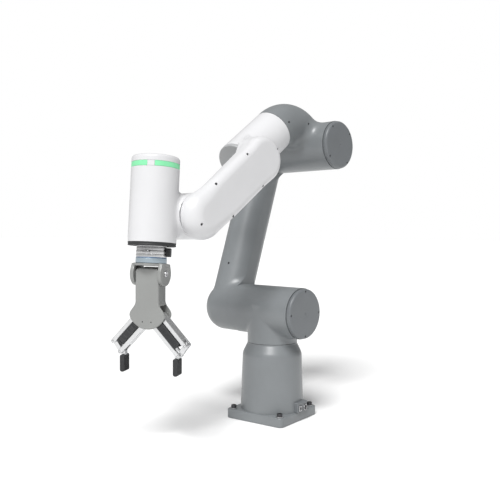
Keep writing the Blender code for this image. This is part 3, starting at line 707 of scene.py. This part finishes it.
def sink(target, holes, name):
    """Cut round holes, each (foot, direction, radius, length), into a closed piece."""
    bm = bmesh.new()
    for at, direction, radius, length in holes:
        local = shift(*at) @ Vector((0, 0, 1)).rotation_difference(Vector(direction)).to_matrix().to_4x4()
        middle = local @ shift(0, 0, length / 2)
        bmesh.ops.create_cone(
            bm, cap_ends=True, segments=32, radius1=radius, radius2=radius, depth=length, matrix=middle
        )
    mesh = bpy.data.meshes.new(name)
    bm.to_mesh(mesh)
    bm.free()
    mesh.transform(PLACES[target.name])
    cutter = bpy.data.objects.new(name, mesh)
    bpy.context.collection.objects.link(cutter)
    cut = target.modifiers.new("holes", "BOOLEAN")
    cut.operation = "DIFFERENCE"
    cut.solver = "MANIFOLD"
    cut.object = cutter
    bpy.context.view_layer.update()
    result = bpy.data.meshes.new_from_object(target.evaluated_get(bpy.context.evaluated_depsgraph_get()))
    target.modifiers.remove(cut)
    material = target.data.materials[0]
    target.data = result
    result.materials.clear()
    result.materials.append(material)
    result.polygons.foreach_set("material_index", [0] * len(result.polygons))
    result.shade_smooth()
    result.set_sharp_from_angle(angle=math.radians(32))
    bpy.data.objects.remove(cutter)
    return target


def box_field(p, low, high, rounding):
    """Distance to a box with rounded edges."""
    gap = [np.abs(p[k] - (low[k] + high[k]) / 2) - ((high[k] - low[k]) / 2 - rounding) for k in range(3)]
    outside = np.sqrt(sum(np.maximum(g, 0.0) ** 2 for g in gap))
    inside = np.minimum(np.maximum(np.maximum(gap[0], gap[1]), gap[2]), 0.0)
    return outside + inside - rounding


def extruded_field(flat, depth, low, high, rounding):
    """A flat distance field given thickness along one direction, with rounded edges."""
    across = flat + rounding
    end = np.abs(depth - (low + high) / 2) - ((high - low) / 2 - rounding)
    outside = np.hypot(np.maximum(across, 0.0), np.maximum(end, 0.0))
    return np.minimum(np.maximum(across, end), 0.0) + outside - rounding


def seam_ring(name, link, along, at, radius, low, high):
    """The dark recess that shows as a fine line between two links."""
    return lathe(name, rod(radius, low, high), link, along, at, SEAM_BLACK, 0.0002)


# ------------------------------------------------------------------------ base


def make_base():
    side = 0.0825
    outline = rounded_rectangle(-side, -side, side, side, 0.0115, 10)
    plate = rounded_plate(outline, 0.0, 0.022, 0.0018, "base_plate")
    made = place("base_plate", plate, "base", GRAPHITE)
    column = [
        (0.0, 0.0205), (0.0785, 0.0205), (0.0785, 0.0225), (0.0741, 0.158), (0.0722, 0.165),
        (0.0641, 0.1815), (0.0623, 0.1850), (0.0623, BASE_TOP - SEAM), (0.0, BASE_TOP - SEAM),
    ]
    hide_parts("base_housing")
    lathe("base_column", column, "base", "+z", (0, 0, 0), GRAPHITE, 0.0022, steps=128)
    seam_ring("seam_1", "base", "+z", (0, 0, 0), 0.0613, 0.180, BASE_TOP + GAP)
    underside = rod(0.0652, 0.0, 0.005)
    floor = lathe("base_underside", underside, "base", "+z", (0, 0, 0), DARK_PLASTIC, 0.0006)
    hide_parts("base_floor")

    for number, (x, y) in enumerate([(a, b) for a in (-0.0685, 0.0685) for b in (-0.0685, 0.0685)], 1):
        name = "base_screw_%d" % number
        mesh = socket_screw_mesh(name, 0.0068, 0.0070, 0.0036)
        head = place(name, mesh, "base", SCREW_DARK, shift(x, y, 0.0238))
        washer = [(0.0045, 0.0222), (0.0092, 0.0222), (0.0092, 0.0240), (0.0045, 0.0240)]
        lathe("base_washer_%d" % number, washer, "base", "+z", (x, y, 0), STEEL, 0.0, True, 48)
        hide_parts("base_bolt_%d" % number)

    def block_field(p):
        body = box_field(p, (-0.027, 0.060, 0.0224), (0.0165, 0.0872, 0.047), 0.0022)
        column_gap = np.hypot(p[0], p[1]) - 0.0782
        body = np.maximum(body, -column_gap)
        power = cylinder_field(p, "y", (-0.0145, 0, 0.032), 0.0079, 0.0810, 0.12, 0.0002)
        data = box_field(p, (-0.0006, 0.0812, 0.0249), (0.0116, 0.12, 0.0391), 0.0015)
        return np.maximum(np.maximum(body, -power), -data)
    # The connector block takes the darker graphite copy, whose darkness is painted shade
    made = housing(
        "connector_housing", block_field, (-0.027, 0.066, 0.0224), (0.0165, 0.0872, 0.047), "base",
        GRAPHITE_PAINTED_SHADE, step=0.0007,
    )
    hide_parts("connector_block")
    at = (-0.0145, 0.0872, 0.032)
    sleeve = [
        (0.0, -0.006), (0.0074, -0.006), (0.0074, 0.003), (0.0060, 0.003), (0.0060, -0.003),
        (0.0, -0.003),
    ]
    made = lathe("power_inlet_sleeve", sleeve, "base", "+y", at, STEEL, 0.0004, steps=48)
    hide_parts("base_power_inlet")
    insert = rod(0.0048, -0.0032, 0.0006)
    lathe("power_inlet_insert", insert, "base", "+y", at, DARK_PLASTIC, 0.0003, steps=32)
    for number, angle in enumerate((45, 135, 225, 315), 1):
        x = at[0] + 0.0026 * math.cos(math.radians(angle))
        z = at[2] + 0.0026 * math.sin(math.radians(angle))
        pin = [(0.0, 0.0), (0.0005, 0.0), (0.0005, 0.0016), (0.0, 0.0018)]
        lathe("power_inlet_pin_%d" % number, pin, "base", "+y", (x, at[1], z), STEEL, 0.0, steps=16)

    def port_field(p):
        body = box_field(p, (0.0, 0.0816, 0.0255), (0.0110, 0.0890, 0.0385), 0.0010)
        return np.maximum(body, -box_field(p, (0.0022, 0.0850, 0.0277), (0.0088, 0.12, 0.0363), 0.0006))
    made = housing(
        "data_port_shell", port_field, (0.0, 0.0816, 0.0255), (0.0110, 0.0890, 0.0385), "base",
        STEEL, step=0.0005,
    )
    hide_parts("base_data_port")
    outline = rounded_rectangle(0.0034, 0.0292, 0.0076, 0.0348, 0.0004, 3)
    tongue = rounded_plate(outline, -0.0868, -0.0846, 0.0002, "data_port_tongue")
    place("data_port_tongue", tongue, "base", DARK_PLASTIC, turn("X", 90))


# ------------------------------------------------------------------- end caps


def cap(name, node, link, radius, face, at):
    """A round cap with a soft rim, a small centre mark and four screws sunk around it."""
    back = face - 0.0117 + 0.0010
    profile = [
        (0.0, back - 0.004), (radius - 0.0022, back - 0.004), (radius - 0.0022, back),
        (radius, back), (radius, face - 0.0034), (radius - 0.0034, face), (0.0026, face),
        (0.0026, face - 0.0008), (0.0, face - 0.0008),
    ]
    # The cap takes the darker graphite copy, whose darkness is painted shade
    made = lathe(name, profile, link, "+y", at, GRAPHITE_PAINTED_SHADE, 0.0016, steps=128)
    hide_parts(node)
    spots = []
    for angle in map(math.radians, (0.0, 90.0, 180.0, 270.0)):
        across = radius - 0.0062
        spots.append((across * math.cos(angle), across * math.sin(angle), face - 0.0022))
    sink(made, [(spot, (0, 0, 1), 0.0027, 0.01) for spot in spots], name + "_holes")
    for number, spot in enumerate(spots, 1):
        part = name + "_screw_%d" % number
        mesh = socket_screw_mesh(part, 0.0023, 0.0012, 0.0012)
        local = shift(*at) @ ALONG["+y"] @ shift(*spot) @ shift(0, 0, 0.0001)
        place(part, mesh, link, SCREW_DARK, local)


def make_caps():
    lift = (0, 0, SHOULDER_HEIGHT)
    cap("shoulder_end_cap", "shoulder_cap", "shoulder", 0.0605, 0.105, lift)
    cap("elbow_end_cap", "elbow_cap", "elbow", 0.0600, 0.103, (0, 0, 0))
    seam_ring("shoulder_cap_seam", "shoulder", "+y", lift, 0.0590, 0.088, 0.0946)
    seam_ring("elbow_cap_seam", "elbow", "+y", (0, 0, 0), 0.0585, 0.086, 0.0926)
    seam_ring("seam_2", "shoulder", "+y", lift, 0.0610, -0.0998, -0.092)
    seam_ring("seam_3", "elbow", "+y", (0, 0, 0), 0.0600, -0.0998, -0.092)
    seam_ring("seam_4", "forearm", "+x", (0, 0, 0), 0.0515, 0.1028, 0.110)
    seam_ring("seam_5", "wrist", "+y", (0, 0, 0), 0.0488, 0.040, 0.0500)

    def field(p):
        disc = cylinder_field(p, "x", (0, 0, 0), 0.0520, 0.2400, 0.2587, 0.0022)
        disc = np.maximum(disc, 0.2506 - p[0])
        return np.maximum(disc, 0.0008 - np.minimum(knuckle_field(p), beam_field(p)))
    # The disc takes the lighter grey, a painted highlight on graphite
    made = housing(
        "forearm_disc", field, (0.2500, -0.053, -0.053), (0.2590, 0.050, 0.053), "forearm",
        GRAPHITE_PAINTED_LIGHT, step=0.0012,
    )
    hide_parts("forearm_end_cap")
    rear = [(0.0, 0.0490), (0.0485, 0.0490), (0.0485, 0.0545), (0.0455, 0.0575), (0.0, 0.0575)]
    made = lathe("wrist_back_cap", rear, "wrist", "-y", (0, 0, 0), WHITE, 0.0016, steps=128)
    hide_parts("wrist_rear_cap")


# ----------------------------------------------------------------------- wrist

# Middle and half width of the light ring's white gap, degrees round the wrist
RING_GAP = 139.5
RING_GAP_HALF = 8.5


def sector_mesh(name, inner, outer, start, end, low, high, count=120, bulge=0.0):
    """A curved bar around Z between two angles, its outer edge softened."""
    soft = 0.0006
    rings = []
    for i in range(count + 1):
        angle = math.radians(start + (end - start) * i / count)
        section = [
            (inner, low), (outer - soft, low), (outer, low + soft),
            (outer + bulge, (low + high) / 2), (outer, high - soft), (outer - soft, high),
            (inner, high),
        ]
        rings.append([(r * math.cos(angle), r * math.sin(angle), h) for r, h in section])
    return rings_mesh(rings, name, 40.0)


def make_wrist_parts():
    at = (0, 0, WRIST_OFFSET)
    top = [(0.0, -0.1010), (0.0490, -0.1010), (0.0490, -0.1032), (0.0503, -0.1032), (0.0503, -0.1105)]
    bend = (0.2, 0.45, 0.7, 0.95, 1.2, 1.4)
    top += [(0.0503 - 0.007 * (1 - math.cos(a)), -0.1105 - 0.007 * math.sin(a)) for a in bend]
    top += [(0.0430, -0.1175), (0.0, -0.1175)]
    profile = [(r, -h) for r, h in top]
    made = lathe("wrist_dome", profile, "wrist", "-x", at, WHITE, steps=128)
    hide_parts("wrist_top_cap")
    core = rod(0.0488, 0.0915, 0.1033)
    lathe("light_ring_core", core, "wrist", "-x", at, SEAM_BLACK, steps=128)
    start, end = RING_GAP + RING_GAP_HALF + 0.4, RING_GAP + 360 - RING_GAP_HALF - 0.4
    ring = sector_mesh("light_band", 0.0478, 0.0501, start, end, -0.1029, -0.0921, bulge=0.0002)
    made = place("light_band", ring, "wrist", GREEN, shift(*at) @ ALONG["+x"])
    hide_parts("light_ring")
    start, end = RING_GAP - RING_GAP_HALF, RING_GAP + RING_GAP_HALF
    bridge = sector_mesh("light_band_bridge", 0.0478, 0.0502, start, end, -0.1031, -0.0919, 16)
    place("light_band_bridge", bridge, "wrist", WHITE, shift(*at) @ ALONG["+x"])
    seal = [
        (0.0345, 0.0616), (0.0500, 0.0616), (0.0500, 0.0640), (0.0494, 0.0652), (0.0500, 0.0664),
        (0.0500, 0.0680), (0.0490, 0.0690), (0.0345, 0.0690),
    ]
    made = lathe("wrist_seal", seal, "wrist", "+x", at, RUBBER, 0.0, True, 128)
    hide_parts("wrist_seal_ring")


# ------------------------------------------------------------------------ tool


def make_tool():
    at = (0, 0, 0)
    flange = [
        (0.0, 0.060), (0.0315, 0.060), (0.0315, 0.0700), (0.0306, 0.0704), (0.0306, 0.0712),
        (0.0315, 0.0716), (0.0315, 0.0780), (0.0, 0.0780),
    ]
    made = lathe("output_flange", flange, "tool", "+x", at, STEEL, 0.0005, steps=128)
    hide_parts("tool_flange")
    upper = [
        (0.0, 0.0783), (0.0312, 0.0783), (0.0322, 0.0793), (0.0322, 0.0845), (0.0316, 0.0850),
        (0.0316, 0.0856), (0.0322, 0.0861), (0.0322, 0.0917), (0.0312, 0.0925), (0.0, 0.0925),
    ]
    made = lathe("changer_upper", upper, "tool", "+x", at, ALUMINIUM, 0.0004, steps=128)
    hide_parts("changer_robot_side")
    line = rod(0.0318, 0.0924, 0.0936)
    lathe("changer_line", line, "tool", "+x", at, BLUE_LINE, steps=128)
    lower = [
        (0.0, 0.0934), (0.0314, 0.0934), (0.0322, 0.0942), (0.0322, 0.1038), (0.0314, 0.1046),
        (0.0, 0.1046),
    ]
    made = lathe("changer_lower", lower, "tool", "+x", at, BLUE_GREY, 0.0003, steps=128)
    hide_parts("changer_tool_side")

    changer = 0.0322
    outline = rounded_rectangle(0.0790, -0.009, 0.0850, 0.006, 0.0022, 6)
    plate = rounded_plate(outline, -(changer + 0.0060), -(changer - 0.001), 0.0008, "changer_latch")
    made = place("changer_latch", plate, "tool", STEEL, turn("X", 85.0) @ turn("X", 90))
    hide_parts("changer_lever")
    outline = rounded_rectangle(0.0718, -0.009, 0.0902, 0.009, 0.0030, 6)
    plug = rounded_plate(outline, -(changer + 0.0083), -(changer - 0.001), 0.0014, "changer_plug")
    made = place("changer_plug", plug, "tool", DARK_PLASTIC, turn("X", -14.0) @ turn("X", 90))
    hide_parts("changer_connector")

    def bracket_field(p):
        x, y, z = p
        plate_part = cylinder_field(p, "x", (0, 0, 0), 0.0352, 0.1050, 0.1100, 0.0006)
        round_part = np.hypot(x - TILT_PIVOT, z) - 0.025
        upright = np.maximum(0.1052 - x, x - TILT_PIVOT)
        upright = np.maximum(np.abs(z) - (0.019 + (x - 0.105) * 0.10), upright)
        ear = smooth_min(round_part, upright, 0.004)
        both = extruded_field(ear, np.abs(y), 0.0272, 0.0352, 0.0012)
        both = np.maximum(both, 0.1052 - x)
        made = smooth_min(plate_part, both, 0.003)
        return np.maximum(made, 0.0045 - np.hypot(x - TILT_PIVOT, z))
    made = housing(
        "bracket_yoke", bracket_field, (0.105, -0.0352, -0.0352), (0.151, 0.0352, 0.0352), "tool",
        LIGHT_GREY, step=0.0009,
    )
    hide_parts("gripper_bracket")
    for side, direction in (("left", -1), ("right", 1)):
        name = "tilt_bolt_" + side
        along = "+y" if direction > 0 else "-y"
        local = shift(TILT_PIVOT, 0.0, 0.0) @ ALONG[along]
        head = socket_screw_mesh(name, 0.0070, 0.0017, 0.0030, depth=0.0012)
        made = place(name, head, "tool", STEEL, local @ shift(0, 0, 0.0353))
        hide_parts("tilt_screw_" + side)
        shank = rod(0.0042, 0.0200, 0.0354)
        lathe("tilt_shank_" + side, shank, "tool", along, (TILT_PIVOT, 0, 0), STEEL, 0.0004, steps=48)


# --------------------------------------------------------------------- gripper


def body_flat(x, y):
    """Front outline of the gripper body: a straight neck that widens to a round head."""
    half, top, corner = 0.0266, -0.0130, 0.010
    y = np.abs(y)
    gap_x = np.abs(x - (top + 0.075) / 2) - ((0.075 - top) / 2 - corner)
    gap_y = y - (half - corner)
    neck = np.hypot(np.maximum(gap_x, 0), np.maximum(gap_y, 0))
    neck = neck + np.minimum(np.maximum(gap_x, gap_y), 0) - corner
    shoulder = (y - half) * 0.79 - (x - 0.062) * 0.61
    head = np.hypot(x - 0.0698, y) - 0.0447
    head = smooth_max(head, shoulder, 0.008)
    return smooth_min(neck, head, 0.004)


def make_gripper_body():
    depth, wall = BODY_DEPTH, 0.0025
    inner = depth - wall

    def field(p):
        x, y, z = p
        outer = extruded_field(body_flat(x, y), z, -depth, depth, 0.0030)
        upper = box_field(p, (-0.006, -0.0241, -inner), (0.072, 0.0241, inner), 0.001)
        lower = box_field(p, (0.0650, -0.06, -inner), (0.16, 0.06, inner), 0.001)
        window = box_field(p, (0.0038, -0.0195, -0.05), (0.0622, 0.0195, -inner + 0.002), 0.001)
        bore = np.hypot(x, z) - 0.0046
        made = np.maximum(outer, -np.minimum(upper, lower))
        made = np.maximum(made, -window)
        made = np.maximum(made, -bore)
        for side in (1, -1):
            pin = np.maximum(np.hypot(x - 0.0985, y - 0.0098 * side) - 0.0013, -z)
            made = np.maximum(made, -pin)
        return made
    made = housing(
        "gripper_shell", field, (-0.013, -0.0450, -depth), (0.116, 0.0450, depth), "gripper",
        LIGHT_GREY, step=0.0009,
    )
    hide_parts("gripper_housing")
    outline = rounded_rectangle(0.0043, -0.0190, 0.0617, 0.0190, 0.003, 6)
    back = rounded_plate(outline, -depth, -inner, 0.0006, "gripper_hatch")
    made = place("gripper_hatch", back, "gripper", LIGHT_GREY)
    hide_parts("gripper_back_cover")
    for number, (x, y) in enumerate([(a, b) for a in (0.0080, 0.0580) for b in (-0.0155, 0.0155)], 1):
        name, foot = "gripper_hatch_screw_%d" % number, (x, y, -depth + 0.0006)
        screw(name, "gripper", foot, (0, 0, -1), 0.0019, 0.0012, 0.0010)
    motor = [
        (0.0, 0.006), (0.0120, 0.006), (0.0120, 0.0100), (0.0115, 0.0104), (0.0115, 0.0380),
        (0.0120, 0.0384), (0.0120, 0.0420), (0.0050, 0.0420), (0.0050, 0.0457), (0.0, 0.0457),
    ]
    made = lathe("gripper_drive_motor", motor, "gripper", "+x", (0, 0, 0), COPPER, 0.0003, steps=64)
    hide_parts("gripper_motor")
    outline = rounded_rectangle(0.0460, -0.0200, 0.0700, 0.0200, 0.003, 6)
    case = rounded_plate(outline, -0.0130, 0.0130, 0.0015, "gripper_gearbox")
    made = place("gripper_gearbox", case, "gripper", STEEL)
    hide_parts("gripper_gear_case")
    for kind, down, across in (("inner", *INNER_PIVOT), ("outer", *OUTER_PIVOT)):
        for side, sign in (("left", -1), ("right", 1)):
            name = "%s_pivot_pin_%s" % (kind, side)
            pin = rod(0.0022, -0.0152, 0.0152)
            made = lathe(name, pin, "gripper", "+z", (down, across * sign, 0), STEEL, 0.0002, steps=32)
            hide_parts("%s_pin_%s" % (kind, side))


def make_finger(side):
    sign = 1 if side == "right" else -1
    swing = REST["finger"] * sign
    length, half = FINGER_LENGTH, FINGER_HALF
    inner = shift(INNER_PIVOT[0], INNER_PIVOT[1] * sign, 0) @ turn("Z", swing)
    outer = shift(OUTER_PIVOT[0], OUTER_PIVOT[1] * sign, 0) @ turn("Z", swing)
    tip = inner @ shift(length, 0, 0) @ turn("Z", -swing)
    for kind, local, slot in (("inner", inner, 0.024), ("outer", outer, 0.014)):

        def bar_field(p, slot=slot):
            x, y, z = p
            flat = np.hypot(x - np.clip(x, 0.0, length), y) - half
            body = extruded_field(flat, z, -0.012, 0.012, 0.0009)
            fork = box_field(p, (length - slot, -0.03, -0.0062), (length + 0.04, 0.03, 0.0062), 0.0006)
            body = np.maximum(body, -fork)
            body = np.maximum(body, 0.0025 - np.hypot(x, y))
            return np.maximum(body, 0.0025 - np.hypot(x - length, y))

        name = "%s_bar_%s" % (kind, side)
        made = housing(
            name, bar_field, (-0.0045, -0.0045, -0.012), (length + 0.0045, 0.0045, 0.012),
            "gripper", ALUMINIUM, step=0.0006, local=local, body="%s_link_%s" % (kind, side),
        )
        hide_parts("%s_link_%s" % (kind, side))

    angle = math.radians(REST["finger"])
    spacing = 0.016 * math.cos(angle) + 0.0215 * math.sin(angle)
    low, high = half + GAP, spacing - half - GAP

    def channel_field(p):
        x, y, z = p
        y = y * sign
        outer_part = box_field((x, y, z), (0.0070, low, -0.0148), (length - 0.014, high, 0.0148), 0.0012)
        round_part = box_field(
            (x, y, np.zeros_like(z)), (0.0070, low, -0.05), (length - 0.014, high, 0.05), 0.0050
        )
        outer_part = np.maximum(outer_part, round_part)
        mouth = box_field((x, y, z), (-0.05, low + 0.0015, -0.0124), (0.15, high + 0.02, 0.0124), 0.0004)
        made = np.maximum(outer_part, -mouth)
        ribs = np.abs(((x - 0.0115) % 0.0042) - 0.0021) - 0.0006
        groove = np.maximum(ribs, 0.0143 - np.abs(z))
        groove = np.maximum(groove, np.maximum(0.0100 - x, x - 0.0660))
        groove = np.maximum(groove, np.maximum(low + 0.003 - y, y - (high - 0.003)))
        return np.maximum(made, -groove)

    lows, highs = sorted((low * sign, high * sign))
    name = "finger_channel_" + side
    made = housing(
        name, channel_field, (0.0070, lows, -0.0148), (length - 0.014, highs, 0.0148), "gripper",
        DARK_PLASTIC, step=0.00055, local=inner, body="inner_link_" + side,
    )
    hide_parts("link_cover_" + side)

    far = (OUTER_PIVOT[0] - INNER_PIVOT[0], (OUTER_PIVOT[1] - INNER_PIVOT[1]) * sign)
    back = -0.0053 * sign

    def tongue_field(p):
        x, y, z = p
        t = np.clip((x * far[0] + y * far[1]) / (far[0] ** 2 + far[1] ** 2), 0.0, 1.0)
        bar = np.hypot(x - t * far[0], y - t * far[1]) - 0.0052
        stem = np.maximum(np.abs(y - back) - 0.0042, np.maximum(-0.002 - x, x - 0.0260))
        flat = smooth_min(bar, stem, 0.003)
        body = extruded_field(flat, z, -0.0055, 0.0055, 0.0007)
        near_pin = cylinder_field(p, "z", (0, 0, 0), 0.0022, -0.0118, 0.0118, 0.0002)
        far_pin = cylinder_field(p, "z", (far[0], far[1], 0), 0.0022, -0.0118, 0.0118, 0.0002)
        return np.minimum(body, np.minimum(near_pin, far_pin))

    name = "fingertip_bracket_" + side
    box_low = (far[0] - 0.0055, min(-INNER_PIVOT[1] * sign, far[1], 0) - 0.010, -0.0118)
    box_high = (0.0262, max(-INNER_PIVOT[1] * sign, far[1], 0) + 0.010, 0.0118)
    made = housing(
        name, tongue_field, box_low, box_high, "gripper", ALUMINIUM, step=0.0006, local=tip,
        body="fingertip_" + side,
    )
    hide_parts("tip_bracket_" + side)

    def pad_field(p):
        x, y, z = p
        flat = box_field(
            (x, y, np.zeros_like(z)), (0.0060, back - 0.0055, -1), (0.0425, back + 0.0055, 1),
            0.0045,
        )
        body = extruded_field(flat, z, -0.0120, 0.0120, 0.0018)
        face = (y - back) * -sign - 0.0049
        rib = np.abs(((x - 0.010) % 0.0030) - 0.0015) - 0.0007
        groove = np.maximum(np.maximum(rib, -face), np.maximum(0.0115 - x, x - 0.0385))
        return np.maximum(body, -groove)

    name = "fingertip_rubber_" + side
    made = housing(
        name, pad_field, (0.0060, back - 0.0055, -0.012), (0.0425, back + 0.0055, 0.012), "gripper",
        RUBBER, step=0.0006, local=tip, body="fingertip_" + side,
    )
    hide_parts("fingertip_pad_" + side)


# ------------------------------------------------------------ motors and gears


def drive(number, motor_at, gear_at, radius, motor_gap=0.003):
    """A hollow-shaft motor with its housing bands and the strain-wave gear across the seam."""
    start = motor_gap
    motor = [
        (0.009, start), (radius, start), (radius, start + 0.005), (radius - 0.0015, start + 0.006),
        (radius - 0.0015, start + 0.018), (radius, start + 0.019), (radius, start + 0.024),
        (0.8 * radius, start + 0.028), (0.8 * radius, start + 0.050), (0.009, start + 0.050),
    ]
    gear = [
        (0.009, 0.003), (0.9 * radius, 0.003), (0.9 * radius, 0.015), (0.55 * radius, 0.018),
        (0.55 * radius, 0.026), (0.009, 0.026),
    ]
    for kind, profile, (link, at, along), material in (
        ("motor", motor, motor_at, COPPER),
        ("gear", gear, gear_at, STEEL),
    ):
        name = "drive_%d_%s" % (number, kind)
        made = lathe(name, profile, link, along, at, material, 0.0, True, 72)
        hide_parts("joint_%d_%s" % (number, kind))


def make_drives():
    seam, seam_6 = -SIDE_SEAM, 0.0594
    lift = SHOULDER_HEIGHT
    drive(1, ("base", (0, 0, BASE_TOP), "-z"), ("shoulder", (0, 0, BASE_TOP), "+z"), 0.050)
    drive(2, ("shoulder", (0, seam, lift), "+y"), ("lower_arm", (0, seam, 0), "-y"), 0.048)
    drive(3, ("elbow", (0, seam, 0), "+y"), ("lower_arm", (0, seam, LOWER_ARM_LENGTH), "-y"), 0.048)
    drive(
        4, ("forearm", (FOREARM_START, 0, 0), "+x"),
        ("elbow", (FOREARM_START, 0, ELBOW_OFFSET), "-x"), 0.042,
    )
    drive(5, ("wrist", (0, HUB_FACE, 0), "-y"), ("forearm", (FOREARM_LENGTH, HUB_FACE, 0), "+y"), 0.037)
    drive(6, ("wrist", (seam_6, 0, WRIST_OFFSET), "-x"), ("tool", (seam_6, 0, 0), "-x"), 0.038, 0.030)


def make_arm_screws():
    """Cover screws, each sunk in a round hole."""
    spots = {
        "forearm_shell": [(x, 0.0835, z, (0, 1, 0)) for x in (0.296, 0.414) for z in (-0.0415, 0.0415)]
        + [(0.2045, 0.0835, 0.0, (0, 1, 0)), (0.500, 0.0835, -0.001, (0, 1, 0))],
        "elbow_shell": [(0.088, 0.0470, 0.121, (0, 1, 0)), (0.021, 0.0462, 0.0786, (0, 1, 0))],
        "lower_arm_shell": [(0.0475, -0.1407, 0.1045, (1, 0, 0)), (0.0475, -0.1407, 0.340, (1, 0, 0))],
    }
    for target, places in spots.items():
        link = target.replace("_shell", "")
        holes = [((x, y, z), direction, 0.0031, 0.02) for x, y, z, direction in places]
        sink(bpy.data.objects[target], holes, target + "_holes")
        for number, (x, y, z, direction) in enumerate(places, 1):
            screw("%s_screw_%d" % (target, number), link, (x, y, z), direction, 0.0027, 0.0018, 0.0014)


make_base()
make_arm_screws()
make_caps()
make_wrist_parts()
make_tool()
make_gripper_body()
make_finger("left")
make_finger("right")
make_drives()


# ------------------------------------------------------- floor, light, camera


def make_floor():
    mesh = bpy.data.meshes.new("floor")
    corners = [(40.0 * x, 40.0 * y, 0) for x, y in ((-1, -1), (1, -1), (1, 1), (-1, 1))]
    mesh.from_pydata(corners, [], [(0, 1, 2, 3)])
    floor = bpy.data.objects.new("floor", mesh)
    bpy.context.collection.objects.link(floor)
    floor.location = (0, 0, -0.0005)
    material, tree, shader = shader_nodes("pale_floor")
    cloud = texture(tree, "ShaderNodeTexNoise", 2.0, 2.0)
    share = ramp(tree, cloud.outputs["Fac"], 0.0, 1.0)
    tree.links.new(tint(tree, share, (0.93, 0.93, 0.93), (0.95, 0.95, 0.95)), shader.inputs["Base Color"])
    shader.inputs["Roughness"].default_value = 0.9
    mesh.materials.append(material)


def make_sun(name, azimuth, elevation, strength, softness):
    """A soft, even lamp; azimuth is from +X toward +Y, in degrees."""
    data = bpy.data.lights.new(name, "SUN")
    data.energy = strength
    data.angle = math.radians(softness)
    lamp = bpy.data.objects.new(name, data)
    bpy.context.collection.objects.link(lamp)
    a, e = math.radians(azimuth), math.radians(elevation)
    toward = Vector((math.cos(a) * math.cos(e), math.sin(a) * math.cos(e), math.sin(e)))
    lamp.location = toward * 4.0
    lamp.rotation_euler = toward.to_track_quat("Z", "Y").to_euler()


def make_world():
    world = bpy.data.worlds.new("studio")
    world.use_nodes = True
    tree = world.node_tree
    output = tree.nodes["World Output"]
    light = tree.nodes["Background"]
    light.inputs["Color"].default_value = (1.0, 1.0, 1.0, 1.0)
    light.inputs["Strength"].default_value = SKY
    backdrop = tree.nodes.new("ShaderNodeBackground")
    backdrop.inputs["Color"].default_value = (1.0, 1.0, 1.0, 1.0)
    path = tree.nodes.new("ShaderNodeLightPath")
    mix = tree.nodes.new("ShaderNodeMixShader")
    tree.links.new(path.outputs["Is Camera Ray"], mix.inputs["Fac"])
    tree.links.new(light.outputs["Background"], mix.inputs[1])
    tree.links.new(backdrop.outputs["Background"], mix.inputs[2])
    tree.links.new(mix.outputs["Shader"], output.inputs["Surface"])
    bpy.context.scene.world = world
    bpy.context.scene.view_settings.view_transform = "Standard"


def make_camera():
    data = bpy.data.cameras.new("camera")
    data.lens = CAMERA_LENS_MM
    data.sensor_width = 36.0
    data.clip_start = 0.05
    camera = bpy.data.objects.new("camera", data)
    bpy.context.collection.objects.link(camera)
    forward = Vector(CAMERA_FORWARD).normalized()
    side = forward.cross(Vector(CAMERA_UP)).normalized()
    up = side.cross(forward)
    place_matrix = Matrix((side, up, -forward)).transposed().to_4x4()
    place_matrix.translation = Vector(CAMERA_AT)
    camera.matrix_world = place_matrix
    bpy.context.scene.camera = camera


make_floor()
make_sun("key", 20.0, 52.0, 3.6, 24.0)
make_world()
make_camera()

bpy.context.view_layer.update()
